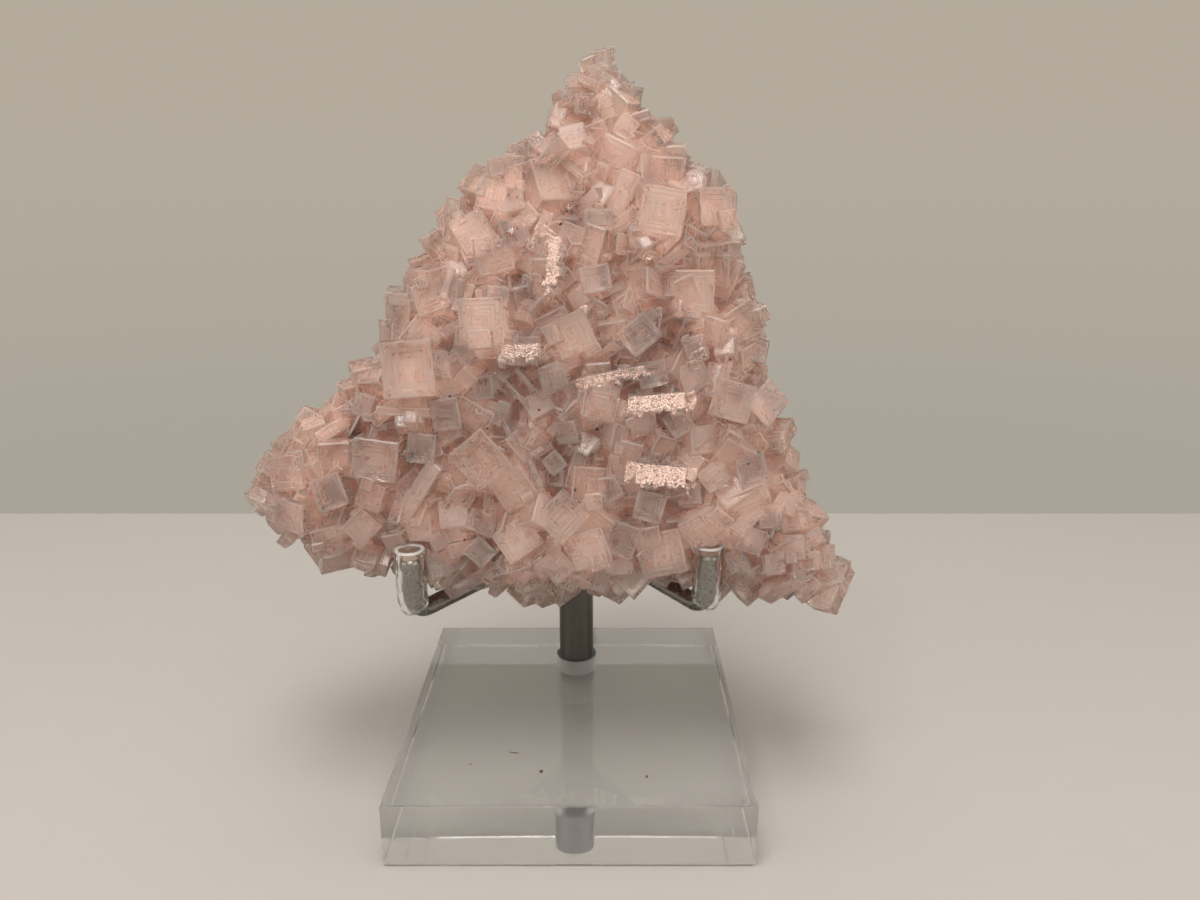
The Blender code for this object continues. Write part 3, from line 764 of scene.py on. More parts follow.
@dataclass
class HaliteCluster:
    """Cubic halite crystals grown together over a solid core.

    Sinks and rooms are shares of a crystal's side, "proud" is how far a face stands out of the
    surface, and wobbles are the spreads of random tilts.
    """

    form: ClusterForm = field(default_factory=ClusterForm)
    seed: int = 28
    core_inset: float = 2.6
    core_sink: float = 3.7
    heart_inset: float = 3.2
    heart_sink: float = 4.4
    core_edge: float = 0.8
    core_centre: tuple[float, float] = (0.0, 30.0)
    core_columns: int = 116
    core_scales: tuple[float, ...] = (1.0, 0.93, 0.84, 0.7, 0.5, 0.3, 0.12)
    core_extent: float = 10.0
    frost_spread: float = 0.25
    tip_clouding: float = 0.7
    tip_clouding_v: tuple[float, float] = (58.0, 80.0)
    block_sink: float = 0.36
    stepped_sink: float = 0.22
    listed_proud: float = 0.25
    block_wobble_deg: float = 16.0
    stepped_wobble_deg: float = 5.0
    facing_tip_deg: float = -5.0
    offspring_share: tuple[float, float] = (0.35, 0.6)
    plate_depth: tuple[float, float] = (1.8, 2.6)
    plate_proud: float = 1.2
    plate_wobble_deg: float = 10.0
    sugared_share: tuple[float, float] = (0.38, 0.52)
    sugared_half_depth: float = 1.3
    sugared_proud: float = 0.35
    sugared_tip_deg: float = -14.0
    teeth: int = 9
    teeth_below: float = 0.65
    rim_rows: tuple[float, ...] = (-0.8, 0.0, 0.8)
    rim_shift: float = 0.35
    rim_spread_at_foot: float = 1.5
    rim_forward_at_foot: float = 4.125
    rim_wobble_deg: tuple[float, float] = (8.0, 24.0)
    thick_foot_half_width: float = 31.0
    front_fill: tuple[FillSize, ...] = (
        FillSize(5.0, 8.0, 0.68, 0.30, 30, 2600, 0.3),
        FillSize(3.4, 5.4, 0.58, 0.30, 34, 3600, 0.15, 1.2),
    )
    back_fill: tuple[FillSize, ...] = (
        FillSize(5.0, 8.5, 0.74, 0.28, 26, 2600, 0.12),
        FillSize(3.4, 5.4, 0.60, 0.26, 36, 4000, 0.0),
    )
    room_at_outline: float = 0.42
    room_at_listed: tuple[float, float] = (0.95, 1.15)
    room_at_plates: float = 0.7
    plate_share: float = 0.25
    bar_share: float = 0.4
    few: int = 30
    # where the painted shade of the gaps begins and becomes full below the outer faces, and the
    # margin over them
    crevice_from: float = 0.3
    crevice_depth: float = 4.2
    crevice_margin: float = 0.6
    drop_from: float = 30.0

    def core_mesh(self, name: str, inset: float, sink: float) -> bpy.types.Mesh:
        """The solid middle: rings of the outline that shrink as they rise to its two sides.

        The outline is resampled at even steps, drawn in towards the centre by a scale t that runs
        through the rings, and lifted to the front or back depth less the sink.

        Args:
            name: The mesh's name.
            inset: How far it stays inside the outline.
            sink: How far it stays below the two sides.

        Returns:
            The closed core with the same attributes as the crystals.
        """
        corners = self.form.corners()
        ring = np.vstack([corners, corners[:1]])
        along = np.concatenate([[0], np.cumsum(np.linalg.norm(np.diff(ring, axis=0), axis=1))])
        steps = np.linspace(0, along[-1], self.core_columns, endpoint=False)
        loop = np.stack([np.interp(steps, along, ring[:, k]) for k in (0, 1)], axis=-1)
        centre = np.array(self.core_centre)
        offset = loop - centre
        length = np.linalg.norm(offset, axis=1, keepdims=True)
        offset *= 1 - inset / length
        scales = self.core_scales
        rows = []
        for scale, front in [(s, False) for s in scales[::-1]] + [(s, True) for s in scales]:
            uv = centre + offset * scale
            w = np.maximum(self.form.depth(uv, front) - sink, self.core_edge)
            rows.append(np.column_stack([uv, w if front else -w]))
        world = self.form.plane.to_world(np.array(rows)[:, ::-1])
        mesh = grid_mesh(name, world, smooth=False)
        loops = len(mesh.loops)
        look = np.tile([0.5, 0.3, 0.0, 1.0], (loops, 1))
        carry_look(mesh, np.zeros((loops, 2)), np.full((loops, 2), self.core_extent), look)
        return mesh

    def batch(
        self,
        chance: np.random.Generator,
        habit: Habit,
        place: Array,
        half: Array,
        turn: Array,
        frost: float = 0.35,
        cloudy: float = 0.25,
    ) -> Crystals:
        """Gather crystals of one habit, with a tint and a frost of their own.

        Args:
            chance: The seeded random numbers.
            habit: How their faces grew.
            place: Rows of u, v, w.
            half: Rows of half sizes.
            turn: Their rotations.
            frost: The middle of their range of frost.
            cloudy: The share of them that is cloudy rather than clear, which rises at the tip.

        Returns:
            The batch.
        """
        count = len(place)
        tint = chance.uniform(0, 1, count)
        frosts = np.clip(chance.normal(frost, self.frost_spread, count), 0, 1)
        cloudier = cloudy + self.tip_clouding * smoothstep(*self.tip_clouding_v, place[:, 1])
        slot = np.where(chance.uniform(0, 1, count) < cloudier, Slot.CLOUDY, Slot.CLEAR)
        return Crystals(habit, place, turn, half, tint, frosts, slot)

    def listed(self, chance: np.random.Generator, table: tuple, habit: Habit) -> Crystals:
        """The crystals of a table on the front, each with its front face just proud.

        Args:
            chance: The seeded random numbers.
            table: Rows of u, v, side, roll.
            habit: Their habit.

        Returns:
            The batch.
        """
        rows = np.array(table, dtype=float)
        count = len(rows)
        side = rows[:, 2:3]
        squash = chance.uniform(0.86, 1.0, (count, 3))
        block = habit is Habit.BLOCK
        sink = self.block_sink if block else self.stepped_sink
        w = self.form.depth(rows[:, :2], True)[:, None] - side * sink + self.listed_proud
        wobble = self.block_wobble_deg if block else self.stepped_wobble_deg
        turn = turn_matrices(
            rows[:, 3],
            chance.normal(self.facing_tip_deg, wobble, count), chance.normal(0, wobble, count),
        )
        place = np.hstack([rows[:, :2], w])
        frost, cloudy = (0.5, 0.12) if block else (0.85, 0.0)
        return self.batch(chance, habit, place, side / 2 * squash, turn, frost, cloudy)

    def offspring(self, chance: np.random.Generator, parents: Crystals, each: int) -> Crystals:
        """Smaller crystals grown on the shoulders of others, turned almost the same way.

        Each lies at its parent's place + turn * (way * half sizes), where way runs round the edge
        of a square and some way up towards the front.

        Args:
            chance: The seeded random numbers.
            parents: The crystals that they grow on.
            each: How many grow on each.

        Returns:
            The batch.
        """
        pick = np.repeat(np.arange(len(parents)), each)
        count = len(pick)
        angle = chance.uniform(0, 2 * math.pi, count)
        way = np.stack([np.cos(angle), np.sin(angle), chance.uniform(0.2, 0.95, count)], axis=-1)
        way[:, :2] /= np.abs(way[:, :2]).max(axis=1, keepdims=True)
        way[:, :2] *= chance.uniform(0.7, 1.0, (count, 1))
        offset = np.einsum("nij,nj->ni", parents.turn[pick], way * parents.half[pick])
        smallest = parents.half[pick].min(axis=1, keepdims=True)
        half = smallest * chance.uniform(*self.offspring_share, (count, 1))
        half = half * chance.uniform(0.8, 1.1, (count, 3))
        turn = parents.turn[pick] @ turn_matrices(*chance.normal(0, 5, (3, count)))
        return self.batch(chance, Habit.BLOCK, parents.place[pick] + offset, half, turn, 0.3, 0.3)

    def plates(self, chance: np.random.Generator) -> Crystals:
        """The plates seen on their edge, upright on the front and some 4 mm deep.

        Args:
            chance: The seeded random numbers.

        Returns:
            The batch.
        """
        rows = np.array(EDGE_ON_PLATES, dtype=float)
        count = len(rows)
        half = np.column_stack(
            [rows[:, 2] / 2, rows[:, 3] / 2, chance.uniform(*self.plate_depth, count)]
        )
        w = self.form.depth(rows[:, :2], True) - half[:, 2] + self.plate_proud
        wobble = self.plate_wobble_deg
        turn = turn_matrices(
            rows[:, 4], chance.normal(0, wobble, count), chance.normal(0, wobble, count)
        )
        return self.batch(chance, Habit.BLOCK, np.column_stack([rows[:, :2], w]), half, turn, 0.6)

    def sugared(self, chance: np.random.Generator) -> Crystals:
        """The flat plates that fine salt grew over, facing forwards, with ragged long edges.

        Args:
            chance: The seeded random numbers.

        Returns:
            The batch.
        """
        rows = np.array(SUGARED_PLATES, dtype=float)
        count = len(rows)
        half = np.column_stack(
            [rows[:, 2:4] * self.sugared_share, np.full(count, self.sugared_half_depth)]
        )
        w = self.form.depth(rows[:, :2], True) + self.sugared_proud
        tip = chance.normal(self.sugared_tip_deg, 5, count)
        turn = turn_matrices(rows[:, 4], tip, chance.normal(0, 6, count))
        place = np.column_stack([rows[:, :2], w])
        pick = np.repeat(np.arange(count), self.teeth)
        number = len(pick)
        below = np.where(chance.uniform(0, 1, number) < self.teeth_below, -1.0, 1.0)
        offset = half[pick] * np.column_stack(
            [chance.uniform(-1, 1, number), below, np.zeros(number)]
        )
        tooth = chance.uniform([0.4, 0.4, 0.8], [1.3, 1.3, 1.25], (number, 3))
        place = np.vstack([place, place[pick] + np.einsum("nij,nj->ni", turn[pick], offset)])
        half = np.vstack([half, tooth])
        turn = np.concatenate([turn, turn[pick] @ turn_matrices(*chance.normal(0, 12, (3, number)))])
        batch = self.batch(chance, Habit.BLOCK, place, half, turn)
        batch.slot[:] = Slot.SUGARED
        return batch

    def rim(self, chance: np.random.Generator) -> Crystals:
        """The crystals along the outline, in three rows from the back to the front.

        Args:
            chance: The seeded random numbers.

        Returns:
            The batch.
        """
        table = np.array(RIM_CUBES, dtype=float)
        batches = []
        for row in self.rim_rows:
            rows = table.copy()
            count = len(rows)
            middle = row == 0.0
            shift = 0.0 if middle else self.rim_shift
            inward = np.array(self.core_centre) - rows[:, :2]
            inward /= np.linalg.norm(inward, axis=1, keepdims=True)
            rows[:, :2] += inward * shift * chance.uniform(0.4, 2.4, (count, 1))
            rows[:, :2] += chance.normal(0, shift, (count, 2))
            w = row * rows[:, 2] + chance.uniform(-0.6, 0.6, count)
            near = np.abs(rows[:, 0]) < self.thick_foot_half_width
            at_foot = near & (rows[:, 1] < self.form.foot_v)
            w = np.where(at_foot, w * self.rim_spread_at_foot + self.rim_forward_at_foot, w)
            size = rows[:, 2:3] * chance.uniform(0.8, 1.0, (count, 3)) / 2
            wobble = self.rim_wobble_deg[0 if middle else 1]
            turn = turn_matrices(
                rows[:, 3] + chance.normal(0, wobble / 2, count),
                chance.normal(0, wobble, count), chance.normal(0, wobble, count),
            )
            batches.append((np.column_stack([rows[:, :2], w]), size, turn))
        place, half, turn = (np.concatenate(part) for part in zip(*batches))
        return self.batch(chance, Habit.BLOCK, place, half, turn, 0.3, 0.8)

    def scatter(self, chance: np.random.Generator, size: FillSize, taken: Array) -> Array:
        """Places for crystals of one size, no nearer each other than their spacing allows.

        Args:
            chance: The seeded random numbers.
            size: The size and spacing.
            taken: Rows of u, v, side that are kept clear.

        Returns:
            Rows of u, v, side.
        """
        corners = self.form.corners()
        uv = chance.uniform(corners.min(axis=0), corners.max(axis=0), (size.tries, 2))
        side = chance.uniform(size.low, size.high, size.tries)
        fits = self.form.inside(uv) & (self.form.edge_distance(uv) > side * self.room_at_outline)
        uv, side = uv[fits], side[fits]
        kept = np.empty((len(taken) + len(uv), 3))
        kept[:len(taken)] = taken
        count = len(taken)
        for place, own in zip(uv, side):
            apart = np.hypot(*(kept[:count, :2] - place).T)
            if (apart > size.spacing * (own + kept[:count, 2]) / 2).all():
                kept[count] = (*place, own)
                count += 1
        return kept[len(taken):count]

    def fill(self, chance: np.random.Generator, front: bool) -> list[Crystals]:
        """Crystals scattered over one side, from large to small.

        Args:
            chance: The seeded random numbers.
            front: Whether it is the front.

        Returns:
            The batches.
        """
        tables = PLAIN_CUBES + HOPPER_CUBES + STEPPED_CUBES if front else ()
        small, large = self.room_at_listed
        clear = [(u, v, (small if side < 6 else large) * side) for u, v, side, _ in tables]
        if front:
            clear += [(u, v, self.room_at_plates * length) for u, v, length, *_ in SUGARED_PLATES]
        taken = np.array(clear or np.empty((0, 3)), dtype=float)
        batches = []
        for size in self.front_fill if front else self.back_fill:
            found = self.scatter(chance, size, taken)
            count = len(found)
            side = found[:, 2:]
            half = side / 2 * self.shares(chance, count)
            w = self.form.depth(found[:, :2], front) - side[:, 0] * size.sink
            w -= np.abs(chance.normal(0, size.scatter, count))
            place = np.column_stack([found[:, :2], w if front else -w])
            turn = turn_matrices(
                chance.uniform(0, 90, count),
                chance.normal(0, size.tilt_deg, count), chance.normal(0, size.tilt_deg, count),
            )
            hopper = chance.uniform(0, 1, count) < size.hopper_share
            for habit, chosen in ((Habit.HOPPER, hopper), (Habit.BLOCK, ~hopper)):
                if chosen.any():
                    batches.append(
                        self.batch(chance, habit, place[chosen], half[chosen], turn[chosen], 0.35)
                    )
        return batches

    def shares(self, chance: np.random.Generator, count: int) -> Array:
        """How the scattered crystals differ from a cube: some are plates and some are bars.

        Args:
            chance: The seeded random numbers.
            count: How many.

        Returns:
            One factor per axis and crystal.
        """
        shares = chance.uniform(0.8, 1.05, (count, 3))
        kind = chance.uniform(0, 1, count)
        plates = kind < self.plate_share
        shares[plates, 1] *= chance.uniform(0.3, 0.55, plates.sum())
        bars = kind > 1 - self.bar_share
        shares[bars, 0] *= chance.uniform(1.2, 1.8, bars.sum())
        shares[bars, 1] *= chance.uniform(0.35, 0.65, bars.sum())
        return shares

    def batches(self) -> list[Crystals]:
        """Grow every crystal of the cluster, in a fixed order.

        Returns:
            The batches.
        """
        chance = np.random.default_rng(self.seed)
        plain = self.listed(chance, PLAIN_CUBES, Habit.BLOCK)
        stepped = self.listed(chance, STEPPED_CUBES, Habit.STEPPED)
        return [
            self.rim(chance),
            plain,
            stepped,
            self.listed(chance, HOPPER_CUBES, Habit.HOPPER),
            self.offspring(chance, plain, 2),
            self.offspring(chance, stepped, 2),
            self.plates(chance),
            self.sugared(chance),
            *self.fill(chance, True),
            *self.fill(chance, False),
        ]

    def grown_together(self, keep_out: list[bpy.types.Mesh]) -> bpy.types.Mesh:
        """Join the crystals to the core and keep clear of the stand.

        Args:
            keep_out: Closed meshes that the cluster stays out of.

        Returns:
            One mesh, with any crystal that hangs free left out.
        """
        scene = bpy.context.scene
        core = bpy.data.objects.new(
            "core", self.core_mesh("core", self.core_inset, self.core_sink)
        )
        scene.collection.objects.link(core)
        helpers = []
        for name, meshes, operation in (
            ("crystals", self.crystal_meshes(), "UNION"),
            ("keep_out", keep_out, "DIFFERENCE"),
        ):
            collection = bpy.data.collections.new(name)
            scene.collection.children.link(collection)
            for mesh in meshes:
                helper = bpy.data.objects.new(name, mesh)
                collection.objects.link(helper)
                helpers.append(helper)
            boolean = core.modifiers.new(name, "BOOLEAN")
            boolean.operation = operation
            boolean.operand_type = "COLLECTION"
            boolean.collection = collection
            boolean.solver = "MANIFOLD"
        graph = bpy.context.evaluated_depsgraph_get()
        joined = bpy.data.meshes.new_from_object(core.evaluated_get(graph))
        for helper in [core, *helpers]:
            mesh = helper.data
            bpy.data.objects.remove(helper)
            bpy.data.meshes.remove(mesh)
        for name in ("crystals", "keep_out"):
            bpy.data.collections.remove(bpy.data.collections[name])
        return self.largest_part(joined)

    def crystal_meshes(self) -> list[bpy.types.Mesh]:
        """Make one mesh for every crystal, with a third step where a batch has few of them.

        Returns:
            The meshes.
        """
        meshes = []
        for batch in self.batches():
            steps = 3 if len(batch) < self.few else 2
            shape = CrystalShape(batch.habit, steps=steps, width_share=0.24 / steps)
            meshes += build_crystal_meshes(shape, batch, self.form.plane)
        log.info("crystals: %d", len(meshes))
        return meshes

    def largest_part(self, mesh: bpy.types.Mesh) -> bpy.types.Mesh:
        """Keep the largest connected part of a mesh.

        Each point takes the lowest number among its neighbours until nothing changes, so that the
        points of one part end up with one number.

        Args:
            mesh: The joined mesh.

        Returns:
            The same mesh without its loose bits.
        """
        edges = np.empty(len(mesh.edges) * 2, dtype=np.int32)
        mesh.edges.foreach_get("vertices", edges)
        edges = edges.reshape(-1, 2)
        label = np.arange(len(mesh.vertices))
        while True:
            lowest = np.minimum(label[edges[:, 0]], label[edges[:, 1]])
            fresh = label.copy()
            np.minimum.at(fresh, edges[:, 0], lowest)
            np.minimum.at(fresh, edges[:, 1], lowest)
            fresh = fresh[fresh]
            if (fresh == label).all():
                break
            label = fresh
        names, counts = np.unique(label, return_counts=True)
        loose = label != names[counts.argmax()]
        log.info("loose points left out: %d of %d", loose.sum(), len(label))
        if loose.any():
            shape = bmesh.new()
            shape.from_mesh(mesh)
            shape.verts.ensure_lookup_table()
            bmesh.ops.delete(
                shape, geom=[shape.verts[i] for i in np.flatnonzero(loose)], context="VERTS"
            )
            shape.to_mesh(mesh)
            shape.free()
        return mesh

    def mark_painted_gap_shade(self, mesh: bpy.types.Mesh) -> None:
        """Store on each point the painted gap shade: how far below the outer faces it lies, 0 to 1.

        Args:
            mesh: The cluster's mesh.
        """
        points = np.empty(len(mesh.vertices) * 3)
        mesh.vertices.foreach_get("co", points)
        places = self.form.plane.from_world(points.reshape(-1, 3) / MM)
        front = places[:, 2] > 0
        nominal = np.where(
            front, self.form.depth(places[:, :2], True), self.form.depth(places[:, :2], False)
        )
        below = nominal + self.crevice_margin - np.abs(places[:, 2])
        below = np.where(self.form.inside(places[:, :2]), below, 0.0)
        painted_gap_shade = smoothstep(self.crevice_from, self.crevice_depth, below)
        mesh.attributes.new("painted_gap_shade", "FLOAT", "POINT").data.foreach_set("value", painted_gap_shade)

    def build(
        self,
        finishes: dict[Slot, bpy.types.Material],
        milky: bpy.types.Material,
        keep_out: list[bpy.types.Mesh],
    ) -> bpy.types.Object:
        """Grow the cluster over its milky heart and put it in place of its solid.

        Args:
            finishes: The crystals' materials.
            milky: The heart's material.
            keep_out: Closed meshes that it stays out of.

        Returns:
            The piece.
        """
        heart = add_piece(
            "halite_heart", self.core_mesh("halite_heart", self.heart_inset, self.heart_sink), milky
        )
        mesh = self.grown_together(keep_out)
        mesh.name = "halite_crystals"
        # the depth below the outer faces, which the finishes paint as shade in the gaps
        self.mark_painted_gap_shade(mesh)
        mesh.polygons.foreach_set("use_smooth", np.zeros(len(mesh.polygons), dtype=bool))
        mesh.materials.clear()
        piece = add_piece("halite_crystals", mesh, *(finishes[slot] for slot in Slot))
        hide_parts("halite_cluster")
        return piece

    def drop(self, surface: BVHTree, uv: Array, lift: float) -> Array:
        """Lower places onto the front of the cluster, straight back along w.

        Args:
            surface: The cluster's surface, in metres.
            uv: Rows of u, v.
            lift: How far above the surface they stay.

        Returns:
            Rows of u, v, w for the places that meet it.
        """
        start = np.column_stack([uv, np.full(len(uv), self.drop_from)])
        start = self.form.plane.to_world(start) * MM
        back = Vector(-self.form.plane.axes()[2])
        met = []
        for place, point in zip(uv, start):
            hit = surface.ray_cast(Vector(point), back)
            if hit[0] is not None:
                met.append((*place, self.drop_from - hit[3] / MM + lift))
        return np.array(met)

    def any_turn(self, chance: np.random.Generator, count: int) -> Array:
        """Rotations with no direction favoured.

        Args:
            chance: The seeded random numbers.
            count: How many.

        Returns:
            Matrices of shape (count, 3, 3).
        """
        return turn_matrices(
            chance.uniform(0, 90, count), chance.uniform(0, 90, count), chance.uniform(0, 90, count)
        )

    def sprinkle(
        self, piece: bpy.types.Object, sugar: bpy.types.Material, grit: bpy.types.Material
    ) -> None:
        """Lay the fine salt and the few specks of grit on the finished crystals.

        A patch of salt is a turned rectangle whose lower edge is a sum of two sine waves.

        Args:
            piece: The cluster's crystals.
            sugar: The fine salt's material.
            grit: The grit's material.
        """
        chance = np.random.default_rng(self.seed + 1)
        surface = BVHTree.FromPolygons(
            [v.co.copy() for v in piece.data.vertices],
            [tuple(p.vertices) for p in piece.data.polygons],
        )
        spots = []
        for u, v, length, width, heading, count in SUGAR_PATCHES:
            along = chance.uniform(-0.5, 0.5, count) * length
            ragged = 0.72 + 0.22 * np.sin(2.3 * along + u) + 0.16 * np.sin(5.7 * along + v)
            across = chance.uniform(-ragged, 0.72, count) * width / 2
            turn = math.radians(heading)
            spots.append(np.column_stack([
                u + along * math.cos(turn) - across * math.sin(turn),
                v + along * math.sin(turn) + across * math.cos(turn),
            ]))
        place = self.drop(surface, np.vstack(spots), 0.03)
        half = chance.uniform(0.05, 0.1, (len(place), 1)) * chance.uniform(0.7, 1, (len(place), 3))
        grains = self.batch(chance, Habit.BLOCK, place, half, self.any_turn(chance, len(place)), 1)
        fine = add_piece("fine_salt", build_grains("fine_salt", grains, self.form.plane), sugar)
        place = self.drop(surface, np.array(GRIT), 0.02)
        half = chance.uniform(0.13, 0.24, (len(place), 3))
        grains = self.batch(chance, Habit.BLOCK, place, half, self.any_turn(chance, len(place)), 1)
        add_piece("grit_specks", build_grains("grit_specks", grains, self.form.plane), grit)


# ---------------------------------------------------------------------------
# The stand


def sweep_rows(centres: Array, tangents: Array, side: Array, radii: Array, columns: int) -> Array:
    """Circles across a path that stays in one plane.

    The point at angle a of row i is centre_i + radius_i * (cos a * side + sin a * (tangent_i x
    side)), so the columns run anticlockwise about the way the path goes.

    Args:
        centres: Points of the path.
        tangents: Its direction at each.
        side: The direction square to the path's plane.
        radii: The radius at each point.
        columns: Points round each circle.

    Returns:
        Points of shape (rows, columns, 3).
    """
    angle = np.linspace(0, 2 * math.pi, columns, endpoint=False)
    normal = np.cross(tangents, side)
    ring = np.cos(angle)[None, :, None] * side + np.sin(angle)[None, :, None] * normal[:, None, :]
    return centres[:, None, :] + radii[:, None, None] * ring


@dataclass(frozen=True)
class AcrylicBase:
    """The square block of clear acrylic, with a blind hole for the post."""

    side: float = 63.5
    thickness: float = 12.0
    edge: float = 0.3
    hole_diameter: float = 8.2
    hole_depth: float = 9.0
    hole_y: float = 20.0
    hole_fillet: float = 0.5
    mouth_chamfer: float = 0.25
    columns: int = 120

    def angles(self) -> Array:
        """Angles about the hole, with one at each corner of the square.

        Returns:
            The angles in radians, clockwise.
        """
        half = self.side / 2
        corners = [math.atan2(y * half - self.hole_y, x * half) for x in (-1, 1) for y in (-1, 1)]
        even = np.linspace(-math.pi, math.pi, self.columns, endpoint=False)
        gap = np.abs(even[:, None] - np.array(corners)[None]).min(axis=1)
        return np.sort(np.concatenate([even[gap > math.pi / self.columns], corners]))[::-1]

    def square(self, half: float) -> Array:
        """Where the angles' rays from the hole's axis meet a square of this half side.

        Each ray is stretched until it meets the nearest of the square's four sides.

        Args:
            half: Half the side.

        Returns:
            Rows of x, y.
        """
        angle = self.angles()
        across, along = np.cos(angle), np.sin(angle)
        full = self.side / 2
        to_side = full / np.maximum(np.abs(across), 1e-9)
        to_end = np.where(along > 0, full - self.hole_y, full + self.hole_y) / np.maximum(
            np.abs(along), 1e-9
        )
        reach = np.minimum(to_side, to_end)
        met = np.column_stack([across * reach, along * reach + self.hole_y])
        return np.clip(met, -half, half)

    def rows(self) -> tuple[Array, int]:
        """Loops from the hole's floor, up its wall, over the top, down the sides and under.

        Returns:
            The rows, and how many of them belong to the hole.
        """
        angle = self.angles()
        ring = np.column_stack([np.cos(angle), np.sin(angle)])
        centre = np.array([0.0, self.hole_y])
        floor = self.thickness - self.hole_depth
        radius = self.hole_diameter / 2
        half, edge, top = self.side / 2, self.edge, self.thickness
        fillet, mouth = self.hole_fillet, self.mouth_chamfer
        hole = [
            (radius - fillet, floor), (radius, floor + fillet),
            (radius, top - mouth), (radius + mouth, top),
        ]
        rows = [np.column_stack([centre + ring * r, np.full(len(angle), z)]) for r, z in hole]
        turn = np.radians([90.0, 60.0, 30.0, 0.0])
        over = [(half - edge + edge * math.cos(t), top - edge + edge * math.sin(t)) for t in turn]
        under = [(h, top - z) for h, z in over[::-1]]
        for h, z in over + under:
            rows.append(np.column_stack([self.square(h), np.full(len(angle), z)]))
        return np.array(rows), len(hole)

    def build(self, polished: bpy.types.Material, drilled: bpy.types.Material) -> bpy.types.Object:
        """Make the block with its polished faces and its drilled hole.

        Args:
            polished: The material of the faces.
            drilled: The material of the hole's wall.

        Returns:
            The piece.
        """
        rows, hole_rows = self.rows()
        mesh = grid_mesh("clear_block", rows, smooth=False)
        columns = rows.shape[1]
        slot = np.zeros(len(mesh.polygons), dtype=np.int32)
        slot[:columns * (hole_rows - 1)] = 1
        slot[-2] = 1
        shading = np.zeros(len(mesh.polygons), dtype=bool)
        shading[columns:columns * 2] = True
        mesh.polygons.foreach_set("use_smooth", shading)
        piece = add_piece("clear_block", mesh, polished, drilled)
        piece.data.polygons.foreach_set("material_index", slot)
        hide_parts("acrylic_base")
        return piece

    def dust(self, grit: bpy.types.Material) -> bpy.types.Object:
        """A few specks of dirt and lint that lie on the top face.

        Args:
            grit: Their material.

        Returns:
            The piece.
        """
        specks = np.array(BASE_SPECKS)
        half = specks[:, 2:5] / 2
        flat = np.zeros(len(specks))
        place = np.column_stack([specks[:, :2], half[:, 2] + 0.01])
        turn = turn_matrices(specks[:, 5], flat, flat)
        grains = Crystals(
            Habit.BLOCK, place, turn, half, flat, flat, np.zeros(len(specks), dtype=np.int32)
        )
        level = LeaningPlane((0.0, 0.0, self.thickness), 90.0)
        return add_piece("base_specks", build_grains("base_specks", grains, level), grit)


@dataclass(frozen=True)
class Post:
    """The round steel post behind the cluster."""

    diameter: float = 7.4
    y: float = 20.0
    foot_z: float = 3.3
    top_z: float = 92.0
    chamfer: float = 0.5
    lengths: int = 24
    columns: int = 64

    def build(self, steel: bpy.types.Material) -> bpy.types.Object:
        """Turn the post: a radius carried up its axis, with a chamfer at each end.

        Args:
            steel: Its material.

        Returns:
            The piece.
        """
        mesh = grid_mesh("steel_post", self.solid(), smooth=True)
        piece = add_piece("steel_post", mesh, steel)
        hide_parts("post")
        return piece

    def solid(self, grow: float = 0.0) -> Array:
        """The post's rows, grown by a margin.

        Args:
            grow: The margin on its radius and ends.

        Returns:
            Points of shape (rows, columns, 3).
        """
        low, high = self.foot_z - grow, self.top_z + grow
        radius, cut = self.diameter / 2, self.chamfer
        heights = np.concatenate([[low], np.linspace(low + cut, high - cut, self.lengths), [high]])
        radii = np.concatenate([[radius - cut], np.full(self.lengths, radius), [radius - cut]]) + grow
        count = len(heights)
        centres = np.column_stack([np.zeros(count), np.full(count, self.y), heights])
        tangents = np.tile([0.0, 0.0, 1.0], (count, 1))
        return sweep_rows(centres, tangents, np.array([1.0, 0.0, 0.0]), radii, self.columns)


